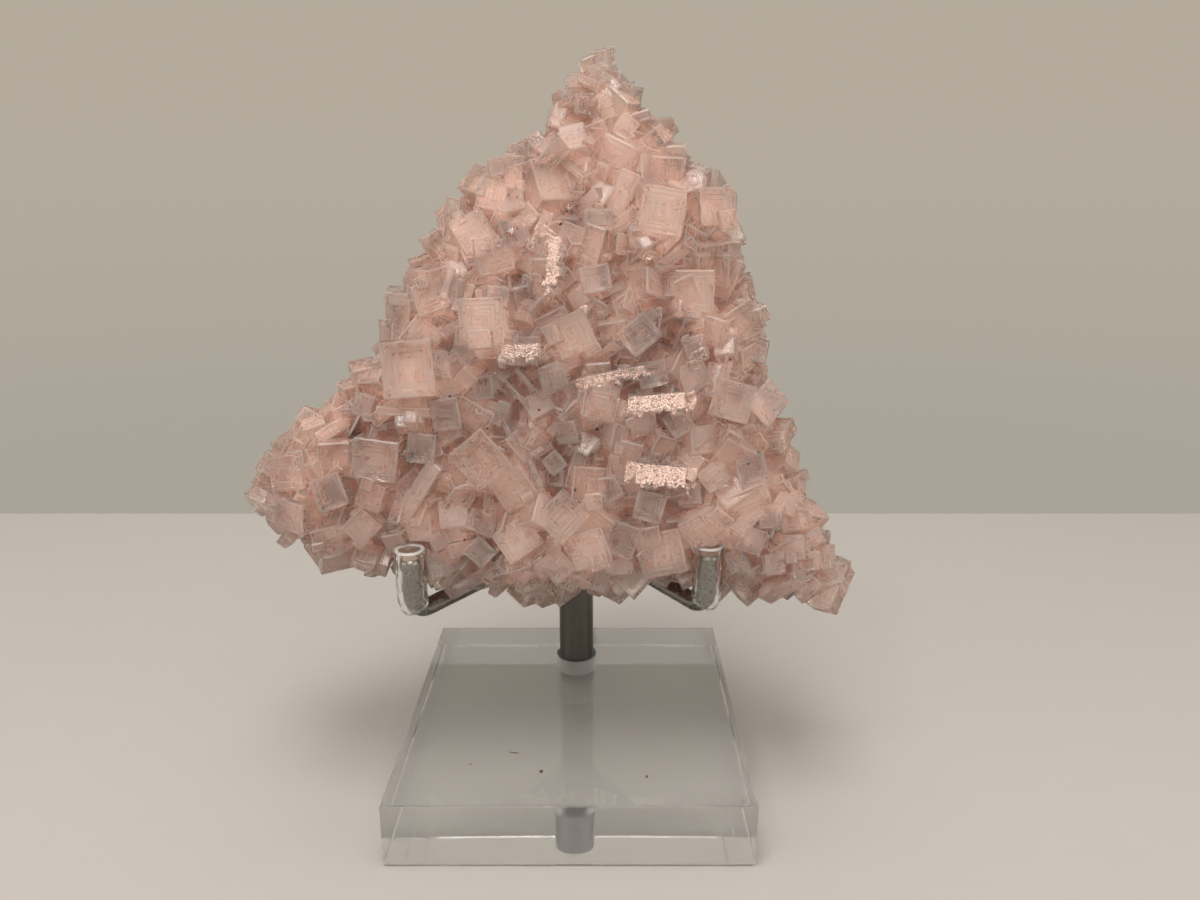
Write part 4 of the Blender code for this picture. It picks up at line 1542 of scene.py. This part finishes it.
@dataclass(frozen=True)
class HookedArm:
    """One arm of round rod, bent up into a hook, and the clear sleeve over the hook."""

    name: str
    hook: tuple[float, float]
    rod_diameter: float = 3.175
    arm_z: float = 40.2
    bend_radius: float = 3.75
    hook_top_z: float = 50.6
    start: float = 3.2
    post_y: float = 20.0
    rod_chamfer: float = 0.35
    sleeve_diameter: float = 5.2
    sleeve_bore: float = 3.7
    sleeve_top_z: float = 52.4
    sleeve_start_deg: float = 58.0
    rod_columns: int = 40
    sleeve_columns: int = 48
    room_columns: int = 24
    mouth_steps: int = 7

    def frame(self) -> tuple[Array, Array]:
        """The arm's heading and the direction square to it.

        Returns:
            The two as level unit directions.
        """
        way = np.array([self.hook[0], self.hook[1] - self.post_y, 0.0])
        way /= np.linalg.norm(way)
        return way, np.array([way[1], -way[0], 0.0])

    def path(self, from_deg: float | None, top_z: float) -> tuple[Array, Array]:
        """Points and directions along the arm.

        It is a straight run, then a quarter circle whose point after turning by t lies at bend
        centre + radius * (heading * sin t - up * cos t), then a straight rise.

        Args:
            from_deg: How far round the bend it begins, or None for the whole arm.
            top_z: Where it ends.

        Returns:
            The points and the unit directions.
        """
        way, _ = self.frame()
        up = np.array([0.0, 0.0, 1.0])
        tip = np.array([*self.hook, self.arm_z])
        centre = tip - way * self.bend_radius + up * self.bend_radius
        turn = np.radians(np.linspace(from_deg or 0.0, 90.0, 19))[:, None]
        bend = centre + self.bend_radius * (way * np.sin(turn) - up * np.cos(turn))
        heading = way * np.cos(turn) + up * np.sin(turn)
        rise = np.linspace(0, top_z - bend[-1, 2], 9)[1:, None]
        points = np.vstack([bend, bend[-1] + up * rise])
        headings = np.vstack([heading, np.tile(up, (8, 1))])
        if from_deg is None:
            begin = np.array([0.0, self.post_y, self.arm_z]) + way * self.start
            run = np.linspace(0, 1, 13)[:-1, None]
            points = np.vstack([begin + (bend[0] - begin) * run, points])
            headings = np.vstack([np.tile(way, (12, 1)), headings])
        return points, headings

    def rod(self, steel: bpy.types.Material, sawn: bpy.types.Material) -> bpy.types.Object:
        """The bent rod, with a small chamfer at its cut end.

        Args:
            steel: Its material.
            sawn: The material of its cut end: bare steel, with a painted reflection of the cluster in
                its warm tint.

        Returns:
            The piece.
        """
        points, headings = self.path(None, self.hook_top_z)
        radii = np.full(len(points), self.rod_diameter / 2)
        points = np.insert(points, len(points) - 1, points[-1] - headings[-1] * self.rod_chamfer, 0)
        headings = np.vstack([headings, headings[-1:]])
        radii = np.append(radii, radii[-1] - self.rod_chamfer)
        rows = sweep_rows(points, headings, self.frame()[1], radii, self.rod_columns)
        mesh = grid_mesh(f"rod_{self.name}", rows, True)
        piece = add_piece(f"rod_{self.name}", mesh, steel, sawn)
        mesh.polygons[-1].material_index = 1
        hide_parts(f"arm_{self.name}")
        return piece

    def sleeve(self, vinyl: bpy.types.Material, cut: bpy.types.Material) -> bpy.types.Object:
        """The sleeve: its profile goes up outside, over a rounded mouth and back down inside.

        Args:
            vinyl: Its material.
            cut: The material of its cut mouth.

        Returns:
            The piece.
        """
        points, headings = self.path(self.sleeve_start_deg, self.sleeve_top_z)
        outer, inner = self.sleeve_diameter / 2, self.sleeve_bore / 2
        middle, lip = (outer + inner) / 2, (outer - inner) / 2
        turn = np.radians(np.linspace(0, 180, self.mouth_steps))
        mouth = points[-1] - headings[-1] * lip + np.outer(np.sin(turn) * lip, headings[-1])
        centres = np.vstack([points[:-1], mouth, points[-2::-1]])
        over = np.tile(headings[-1], (self.mouth_steps, 1))
        ways = np.vstack([headings[:-1], over, headings[-2::-1]])
        radii = np.concatenate([
            np.full(len(points) - 1, outer), middle + np.cos(turn) * lip,
            np.full(len(points) - 1, inner),
        ])
        rows = sweep_rows(centres, ways, self.frame()[1], radii, self.sleeve_columns)
        mesh = grid_mesh(f"clear_sleeve_{self.name}", rows, True, ends=False)
        piece = add_piece(f"clear_sleeve_{self.name}", mesh, vinyl, cut)
        slot = np.zeros((len(centres), self.sleeve_columns), dtype=np.int32)
        begin = len(points) - 1
        slot[begin:begin + self.mouth_steps - 1] = 1
        mesh.polygons.foreach_set("material_index", slot.ravel())
        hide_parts(f"sleeve_{self.name}")
        return piece

    def keep_out(self, gap: float) -> list[bpy.types.Mesh]:
        """The room that the rod and the sleeve take, with a gap all round.

        Args:
            gap: The gap.

        Returns:
            Two closed meshes.
        """
        made = []
        for name, from_deg, top, diameter in (
            ("rod_room", None, self.hook_top_z, self.rod_diameter),
            ("sleeve_room", self.sleeve_start_deg, self.sleeve_top_z, self.sleeve_diameter),
        ):
            points, headings = self.path(from_deg, top + gap)
            radii = np.full(len(points), diameter / 2 + gap)
            rows = sweep_rows(points, headings, self.frame()[1], radii, self.room_columns)
            made.append(grid_mesh(name, rows, False))
        return made


# ---------------------------------------------------------------------------
# Finishes


@dataclass(frozen=True)
class PinkHalite:
    """Rock salt grown from pink brine: glassy cubes with pale streaks, and painted shade deeper pink
    in the gaps.
    """

    name: str = "grown pink halite"
    transmission: float = 0.91
    coat: float = 0.15
    smooth: float = 0.24
    relief_mm: float = 0.08
    ior: float = 1.544
    # the darker, deeper pink painted in the gaps as shade
    deep: str = "e0bdb1"
    body: str = "f5e0d8"
    warm: str = "efd4c9"
    pale: str = "fff3eb"
    absorbs: str = "f2b8a6"
    line_mm: float = 0.85
    grain_mm: float = 0.35
    wobble_mm: float = 1.1
    patch_mm: float = 2.4
    streak_mm: float = 0.5
    streak_length: float = 9.0
    white_rough: float = 0.5

    def material(self) -> bpy.types.Material:
        """Build the material: smooth pink salt, rougher and paler where it is worn or lined.

        Returns:
            The material.
        """
        material, tree = new_material(self.name)
        face = add_node(tree, "UVMap", {"uv_map": "face_mm"})
        look = add_node(tree, "Attribute", {"attribute_name": "crystal"})
        parts = add_node(tree, "SeparateColor", inputs={0: look.outputs["Color"]})
        tint, frost, worn = parts.outputs[0], parts.outputs[1], parts.outputs[2]
        place = add_node(tree, "TexCoord").outputs["Object"]
        inward = self.inward(tree, face, place)
        lines = self.growth_lines(tree, inward)
        streaks, streaky = self.streaks(tree, face, tint, place)
        white = self.whiteness(tree, inward, lines, streaky, frost, worn, place)
        rough = add_node(
            tree, "MapRange",
            inputs={"Value": white, "To Min": self.smooth, "To Max": self.white_rough},
        )
        close_material(tree, {
            "Base Color": self.shade(tree, tint, white),
            "Roughness": rough,
            "IOR": self.ior,
            "Transmission Weight": self.transmission,
            "Coat Weight": self.coat,
            "Coat Roughness": 0.1,
            "Subsurface Weight": 1.0,
            "Subsurface Radius": (1.0, 0.8, 0.75),
            "Subsurface Scale": 5.0 * MM,
            "Normal": self.relief(tree, lines, streaks, place),
        }, self.absorbs)
        return material

    def inward(self, tree: bpy.types.NodeTree, face: Feed, place: Feed) -> Feed:
        """How far a point lies in from its face's edge, bent by a slow noise.

        The distance is the smaller part of the face's half sizes less the place on it.

        Args:
            tree: The material's nodes.
            face: The place on the face in millimetres.
            place: The object coordinates.

        Returns:
            The distance in millimetres.
        """
        extent = add_node(tree, "UVMap", {"uv_map": "extent_mm"})
        size = add_node(tree, "VectorMath", {"operation": "ABSOLUTE"}, {0: face})
        left = add_node(tree, "VectorMath", {"operation": "SUBTRACT"}, {0: extent, 1: size})
        split = add_node(tree, "SeparateXYZ", inputs={0: left})
        least = add_node(
            tree, "Math", {"operation": "MINIMUM"}, {0: split.outputs[0], 1: split.outputs[1]}
        )
        wobble = add_node(
            tree, "TexNoise",
            inputs={"Vector": place, "Scale": 1 / (self.wobble_mm * MM), "Detail": 2.0},
        )
        return add_node(tree, "Math", {"operation": "MULTIPLY_ADD"}, {0: wobble, 1: 0.30, 2: least})

    def growth_lines(self, tree: bpy.types.NodeTree, inward: Feed) -> Feed:
        """The square lines of a face's growth: the crests of a wave in the distance from its edge.

        Args:
            tree: The material's nodes.
            inward: The distance from the face's edge.

        Returns:
            1 on a line and 0 between lines.
        """
        wave = add_node(tree, "Math", {"operation": "PINGPONG"}, {0: inward, 1: self.line_mm / 2})
        return add_node(
            tree, "MapRange", {"interpolation_type": "SMOOTHSTEP"},
            {"Value": wave, "From Min": self.line_mm * 0.32, "From Max": self.line_mm * 0.45},
        )

    def whiteness(
        self, tree: bpy.types.NodeTree, inward: Feed, lines: Feed, streaky: Feed,
        frost: Feed, worn: Feed, place: Feed,
    ) -> Feed:
        """How white a point is: the most of its edge, lines, sugary patches, wear and streaks.

        Args:
            tree: The material's nodes.
            inward: The distance from the face's edge.
            lines: The growth lines.
            streaky: How white the streaks are.
            frost: The crystal's frost.
            worn: Whether the face is a worn edge.
            place: The object coordinates.

        Returns:
            The whiteness from 0 to 1.
        """
        edge = add_node(
            tree, "MapRange", {"interpolation_type": "SMOOTHSTEP"},
            {"Value": inward, "From Min": 0.50, "From Max": 0.26, "To Max": 0.75},
        )
        patch = add_node(
            tree, "TexNoise",
            inputs={"Vector": place, "Scale": 1 / (self.patch_mm * MM), "Detail": 3.0},
        )
        patchy = add_node(
            tree, "MapRange", {"interpolation_type": "SMOOTHSTEP"},
            {"Value": patch, "From Min": 0.40, "From Max": 0.58},
        )
        etched = add_node(
            tree, "MapRange", {"interpolation_type": "SMOOTHSTEP"},
            {"Value": frost, "From Min": 0.3, "From Max": 0.8, "To Min": 0.35},
        )
        white = edge
        for part, *factors in (
            (worn, 0.8), (lines, patchy, etched), (frost, patchy, 0.8), (streaky,),
        ):
            for factor in factors:
                part = add_node(tree, "Math", {"operation": "MULTIPLY"}, {0: part, 1: factor})
            white = add_node(tree, "Math", {"operation": "MAXIMUM"}, {0: white, 1: part})
        return white

    def shade(self, tree: bpy.types.NodeTree, tint: Feed, white: Feed) -> Feed:
        """The colour: its own pink, paler where it is white, and painted shade deeper in the gaps.

        Args:
            tree: The material's nodes.
            tint: The crystal's tint.
            white: The whiteness.

        Returns:
            The colour.
        """
        # painted shade: the depth below the outer faces turns the colour towards the deep pink
        painted_gap_shade = add_node(tree, "Attribute", {"attribute_name": "painted_gap_shade"}).outputs["Fac"]
        gap = add_node(tree, "Math", {"operation": "MULTIPLY"}, {0: painted_gap_shade, 1: 0.85})
        colour = linear(self.body)
        for share, towards in ((tint, self.warm), (white, self.pale), (gap, self.deep)):
            colour = add_node(
                tree, "Mix", {"data_type": "RGBA"}, {0: share, 6: colour, 7: linear(towards)}
            ).outputs[2]
        return colour

    def relief(
        self, tree: bpy.types.NodeTree, lines: Feed, streaks: Feed, place: Feed
    ) -> Feed:
        """The low relief of the growth lines, the streaks and a fine grain.

        Args:
            tree: The material's nodes.
            lines: The growth lines.
            streaks: The streaks' height.
            place: The object coordinates.

        Returns:
            The bent normal.
        """
        grain = add_node(
            tree, "TexNoise",
            inputs={"Vector": place, "Scale": 1 / (self.grain_mm * MM), "Detail": 2.0},
        )
        height = lines
        for part, weight in ((grain, 0.12), (streaks, 1.6)):
            height = add_node(
                tree, "Math", {"operation": "MULTIPLY_ADD"}, {0: part, 1: weight, 2: height}
            )
        return add_node(
            tree, "Bump",
            inputs={"Height": height, "Strength": 0.8, "Distance": self.relief_mm * MM},
        )

    def streaks(
        self, tree: bpy.types.NodeTree, face: Feed, tint: Feed, place: Feed
    ) -> tuple[Feed, Feed]:
        """Straight streaks along one side of a crystal, from noise stretched along it.

        A crystal with a high tint has them along its second axis and the others along the first.

        Args:
            tree: The material's nodes.
            face: The place on the face in millimetres.
            tint: The crystal's tint, which also picks its part of the noise.
            place: The object coordinates.

        Returns:
            The streaks' height, and how white they are.
        """
        split = add_node(tree, "SeparateXYZ", inputs={0: face})
        swapped = add_node(tree, "CombineXYZ", inputs={0: split.outputs[1], 1: split.outputs[0]})
        turned = add_node(tree, "Math", {"operation": "GREATER_THAN"}, {0: tint, 1: 0.5})
        along = add_node(
            tree, "Mix", {"data_type": "VECTOR"}, {0: turned, 4: face, 5: swapped}
        ).outputs[1]
        stretched = add_node(
            tree, "VectorMath", {"operation": "MULTIPLY"},
            {0: along, 1: (1 / (self.streak_mm * self.streak_length), 1 / self.streak_mm, 0.0)},
        )
        part = add_node(tree, "CombineXYZ", inputs={2: tint})
        part = add_node(tree, "VectorMath", {"operation": "SCALE"}, {0: part, 3: 90.0})
        moved = add_node(tree, "VectorMath", {"operation": "ADD"}, {0: stretched, 1: part})
        noise = add_node(tree, "TexNoise", inputs={"Vector": moved, "Scale": 1.0, "Detail": 3.0})
        where = add_node(
            tree, "TexNoise", inputs={"Vector": place, "Scale": 1 / (3.2 * MM), "Detail": 2.0}
        )
        share = add_node(
            tree, "MapRange", {"interpolation_type": "SMOOTHSTEP"},
            {"Value": where, "From Min": 0.42, "From Max": 0.62},
        )
        bright = add_node(
            tree, "MapRange", {"interpolation_type": "SMOOTHSTEP"},
            {"Value": noise, "From Min": 0.50, "From Max": 0.66},
        )
        white = add_node(tree, "Math", {"operation": "MULTIPLY"}, {0: bright, 1: share})
        return noise, white


@dataclass(frozen=True)
class MottledFinish:
    """A finish whose colour, shine and relief follow one noise.

    Of two colours the first shows where the noise is low and the second where it is high, and of
    two roughnesses too. One alone is even. A blend or a range says between which values of the
    noise the change takes place. The relief is a strength and a depth in millimetres.
    """

    name: str = ""
    colours: tuple[str, ...] = ()
    rough: tuple[float, ...] = ()
    grain_mm: float = 1.0
    detail: float = 2.0
    blend: tuple[float, float] | None = None
    rough_range: tuple[float, float] = (0.3, 0.7)
    relief: tuple[float, float] | None = None
    surface: tuple[tuple[str, Any], ...] = ()
    absorbs: str = ""

    def material(self) -> bpy.types.Material:
        """Build the material.

        Returns:
            The material.
        """
        material, tree = new_material(self.name)
        place = add_node(tree, "TexCoord").outputs["Object"]
        grain = add_node(
            tree, "TexNoise",
            inputs={"Vector": place, "Scale": 1 / (self.grain_mm * MM), "Detail": self.detail},
        )
        surface = {"Base Color": self.colour(tree, place, grain), **dict(self.surface)}
        if len(self.rough) == 1:
            surface["Roughness"] = self.rough[0]
        else:
            surface["Roughness"] = add_node(tree, "MapRange", inputs={
                "Value": grain,
                "From Min": self.rough_range[0], "From Max": self.rough_range[1],
                "To Min": self.rough[0], "To Max": self.rough[1],
            })
        if self.relief:
            strength, depth = self.relief
            surface["Normal"] = add_node(
                tree, "Bump", inputs={"Height": grain, "Strength": strength, "Distance": depth * MM}
            )
        close_material(tree, surface, self.absorbs)
        return material

    def colour(self, tree: bpy.types.NodeTree, place: Feed, grain: Feed) -> Any:
        """The colour, even or following the noise.

        Args:
            tree: The material's nodes.
            place: The object coordinates, not used here; a finish with a noise of its own reads them.
            grain: The noise.

        Returns:
            The colour, or what feeds it.
        """
        if len(self.colours) == 1:
            return linear(self.colours[0])
        share = grain
        if self.blend:
            low, high = self.blend
            share = add_node(
                tree, "MapRange", inputs={"Value": grain, "From Min": low, "From Max": high}
            )
        low, high = (linear(colour) for colour in self.colours)
        return add_node(tree, "Mix", {"data_type": "RGBA"}, {0: share, 6: low, 7: high}).outputs[2]


@dataclass(frozen=True)
class FineSalt(MottledFinish):
    """Fine salt grown over everything like a crust of sugar: pinkish white and dull."""

    name: str = "fine pink salt crust"
    colours: tuple[str, ...] = ("e0c0b4", "eed8ce")
    rough: tuple[float, ...] = (0.7,)
    grain_mm: float = 0.3
    blend: tuple[float, float] | None = (0.38, 0.58)
    relief: tuple[float, float] | None = (0.4, 0.06)
    surface: tuple[tuple[str, Any], ...] = (("IOR", 1.5),)


@dataclass(frozen=True)
class FrostedHalite(MottledFinish):
    """Halite etched along its edges: a warm white frost that still lets some light through."""

    name: str = "frosted pink halite"
    colours: tuple[str, ...] = ("eecbbe", "fdebe3")
    rough: tuple[float, ...] = (0.5, 0.25)
    grain_mm: float = 0.5
    detail: float = 3.0
    blend: tuple[float, float] | None = (0.35, 0.6)
    relief: tuple[float, float] | None = (0.8, 0.15)
    surface: tuple[tuple[str, Any], ...] = (
        ("IOR", 1.544), ("Transmission Weight", 0.4), ("Subsurface Weight", 0.7),
        ("Subsurface Radius", (1.0, 0.8, 0.75)), ("Subsurface Scale", 3.0 * MM),
    )


@dataclass(frozen=True)
class Grit(MottledFinish):
    """Specks of dark dirt, dull and rough."""

    name: str = "dark mineral grit"
    colours: tuple[str, ...] = ("3a2a24", "5c463c")
    rough: tuple[float, ...] = (0.85,)
    grain_mm: float = 0.15


@dataclass(frozen=True)
class MilkyHalite(MottledFinish):
    """The salt in the middle of the cluster: clouded by brine and gas, so that it glows pink."""

    name: str = "milky pink halite"
    colours: tuple[str, ...] = ("e4c4b8", "f2dad0")
    rough: tuple[float, ...] = (0.6,)
    grain_mm: float = 6.0
    detail: float = 3.0


@dataclass(frozen=True)
class CastAcrylic(MottledFinish):
    """Cast acrylic, sawn and flame polished: water clear under a haze of dust and fine scratches."""

    name: str = "polished cast acrylic"
    colours: tuple[str, ...] = ("fdfdfc",)
    rough: tuple[float, ...] = (0.02, 0.16)
    grain_mm: float = 0.5
    detail: float = 3.0
    rough_range: tuple[float, float] = (0.55, 0.8)
    surface: tuple[tuple[str, Any], ...] = (("IOR", 1.49), ("Transmission Weight", 0.95))
    absorbs: str = "e6e9ee"


@dataclass(frozen=True)
class RodSteel(MottledFinish):
    """Drawn steel rod: grey metal with a satin shine and fine marks along or round it.

    Its colour is darker in clouds a few millimetres across, where it keeps the share darkest.
    """

    grain_mm: float = 0.5
    detail: float = 4.0
    relief: tuple[float, float] | None = (0.25, 0.02)
    surface: tuple[tuple[str, Any], ...] = (("Metallic", 1.0),)
    cloud_mm: float = 6.0
    darkest: float = 0.72

    def colour(self, tree: bpy.types.NodeTree, place: Feed, grain: Feed) -> Any:
        """The steel's grey with its darker clouds.

        Args:
            tree: The material's nodes.
            place: The object coordinates.
            grain: The noise of the marks.

        Returns:
            What feeds the colour.
        """
        cloud = add_node(
            tree, "TexNoise",
            inputs={"Vector": place, "Scale": 1 / (self.cloud_mm * MM), "Detail": 2.0},
        )
        grey = linear(self.colours[0])
        darker = (*(self.darkest * part for part in grey[:3]), 1.0)
        return add_node(tree, "Mix", {"data_type": "RGBA"}, {0: cloud, 6: darker, 7: grey}).outputs[2]


@dataclass(frozen=True)
class ClearVinyl(MottledFinish):
    """Extruded soft vinyl tube: clear, glossy and faintly wavy, or hazy where it was cut."""

    name: str = "extruded clear vinyl"
    colours: tuple[str, ...] = ("fafaf8",)
    rough: tuple[float, ...] = (0.05, 0.15)
    grain_mm: float = 1.8
    detail: float = 1.0
    rough_range: tuple[float, float] = (0.3, 0.8)
    relief: tuple[float, float] | None = (0.5, 0.3)
    surface: tuple[tuple[str, Any], ...] = (("IOR", 1.53), ("Transmission Weight", 1.0))


# ---------------------------------------------------------------------------
# The studio


@dataclass(frozen=True)
class SoftLight:
    """One square of soft light, aimed at a point."""

    place: tuple[float, float, float]
    side: float
    watts: float
    colour: str = "fffaf5"
    aim: tuple[float, float, float] = (0.0, 0.0, 0.06)

    def hang(self, name: str) -> None:
        """Put the light in the scene.

        Args:
            name: The light's name.
        """
        lamp = bpy.data.lights.new(name, "AREA")
        lamp.shape = "SQUARE"
        lamp.size = self.side
        lamp.energy = self.watts
        lamp.color = linear(self.colour)[:3]
        holder = bpy.data.objects.new(name, lamp)
        holder.location = self.place
        aim = Vector(self.aim) - Vector(self.place)
        holder.rotation_euler = aim.to_track_quat("-Z", "Y").to_euler()
        bpy.context.scene.collection.objects.link(holder)


@dataclass(frozen=True)
class Studio:
    """A pale floor, a grey surround, soft light from above, in front and both sides, a camera."""

    floor_colour: str = "a3a09d"
    surround_low: str = "a9a398"
    surround_high: str = "b4ab9d"
    far_edge: float = 0.141
    camera_place: tuple[float, float, float] = (0.0052, -0.1585, 0.1112)
    camera_pitch_deg: float = 16.34
    lens: float = 26.85

    def floor(self) -> bpy.types.Object:
        """The floor: a sheet with a faint mottle, just under the base.

        Returns:
            The floor.
        """
        corners = np.array([[-1.5, -1.5], [1.5, -1.5], [1.5, self.far_edge], [-1.5, self.far_edge]])
        points = np.column_stack([corners, np.full(4, -0.0002)])
        mesh = bpy.data.meshes.new("floor")
        mesh.from_pydata(points.tolist(), [], [(0, 1, 2, 3)])
        material, tree = new_material("matt white board")
        place = add_node(tree, "TexCoord").outputs["Object"]
        tooth = add_node(
            tree, "TexNoise", inputs={"Vector": place, "Scale": 1 / (9 * MM), "Detail": 4.0}
        )
        base = linear(self.floor_colour)
        darker = (*(0.97 * part for part in base[:3]), 1.0)
        colour = add_node(tree, "Mix", {"data_type": "RGBA"}, {0: tooth, 6: darker, 7: base})
        close_material(tree, {"Base Color": colour.outputs[2], "Roughness": 0.7})
        mesh.materials.append(material)
        floor = bpy.data.objects.new("floor", mesh)
        bpy.context.scene.collection.objects.link(floor)
        return floor

    def surround(self) -> None:
        """The grey surround, a little darker low down."""
        world = bpy.data.worlds.new("surround")
        bpy.context.scene.world = world
        world.use_nodes = True
        tree = world.node_tree
        tree.nodes.clear()
        way = add_node(tree, "TexCoord").outputs["Generated"]
        height = add_node(tree, "SeparateXYZ", inputs={0: way}).outputs[2]
        rise = add_node(
            tree, "MapRange", {"interpolation_type": "SMOOTHSTEP"},
            {"Value": height, "From Min": -0.34, "From Max": 0.1},
        )
        colour = add_node(
            tree, "Mix", {"data_type": "RGBA"},
            {0: rise, 6: linear(self.surround_low), 7: linear(self.surround_high)},
        ).outputs[2]
        glow = add_node(tree, "Background", inputs={"Color": colour, "Strength": 1.0})
        add_node(tree, "OutputWorld", inputs={"Surface": glow})

    def camera(self) -> None:
        """The camera, level across and pitched down."""
        lens = bpy.data.cameras.new("camera")
        lens.lens = self.lens
        lens.sensor_width = 36.0
        lens.clip_start = 0.01
        holder = bpy.data.objects.new("camera", lens)
        holder.location = self.camera_place
        holder.rotation_euler = (math.radians(90 - self.camera_pitch_deg), 0.0, 0.0)
        bpy.context.scene.collection.objects.link(holder)
        bpy.context.scene.camera = holder

    def build(self) -> None:
        """Set up floor, surround, lights, camera and a plain colour response."""
        self.camera()
        self.floor()
        self.surround()
        SoftLight((-0.03, -0.15, 0.6), 0.24, 2.1).hang("overhead")
        SoftLight((0.0, 0.1, 1.3), 1.8, 7.2).hang("ceiling")
        SoftLight((-0.02, -0.6, 0.5), 0.8, 2.3).hang("front")
        SoftLight((-0.55, -0.25, 0.22), 0.5, 1.3).hang("left side")
        SoftLight((0.55, -0.25, 0.22), 0.5, 1.3).hang("right side")
        SoftLight((-0.3, -0.35, 0.7), 0.05, 0.5).hang("sparkle")
        bpy.context.scene.view_settings.view_transform = "Standard"


def main() -> None:
    """Build the studio, the stand and the cluster, and report each."""
    logging.basicConfig(level=logging.INFO, format="%(message)s")
    Studio().build()
    post = Post()
    arms = (HookedArm("left", (-27.2, -17.25)), HookedArm("right", (23.9, -15.3)))
    base = AcrylicBase()
    drilled = CastAcrylic("drilled acrylic", rough=(0.42, 0.6))
    base.build(CastAcrylic().material(), drilled.material())
    post.build(RodSteel("drawn dark steel", ("6a645f",), (0.272, 0.442)).material())
    rod_steel = RodSteel("drawn bright steel", ("928e86",), (0.192, 0.312)).material()
    # bare cut steel is paler than the drawn rod; its warm cream tint is a painted reflection of the
    # pink cluster
    sawn = RodSteel("sawn steel end", ("e2d4c2",), (0.4, 0.65)).material()
    vinyl = ClearVinyl().material()
    cut_vinyl = ClearVinyl(
        "cut clear vinyl", rough=(0.4, 0.5), surface=(("IOR", 1.53), ("Transmission Weight", 0.7))
    ).material()
    gap = 0.3
    keep_out = [grid_mesh("post_room", post.solid(gap), False)]
    for arm in arms:
        arm.rod(rod_steel, sawn)
        arm.sleeve(vinyl, cut_vinyl)
        keep_out += arm.keep_out(gap)
    cluster = HaliteCluster()
    # deep is the painted shade of the cloudy crystals' gaps
    cloudy = PinkHalite(
        "cloudy pink halite", transmission=0.35, coat=0.0, smooth=0.34, relief_mm=0.06,
        deep="f3d6cb", body="fbe8df", warm="f6dcd1", pale="fff5ef",
    )
    finishes = {
        Slot.CLEAR: PinkHalite().material(),
        Slot.FROSTED: FrostedHalite().material(),
        Slot.CLOUDY: cloudy.material(),
        Slot.SUGARED: FineSalt().material(),
    }
    grit = Grit().material()
    base.dust(grit)
    crystals = cluster.build(finishes, MilkyHalite().material(), keep_out)
    cluster.sprinkle(crystals, finishes[Slot.SUGARED], grit)


if __name__ == "__main__":
    main()
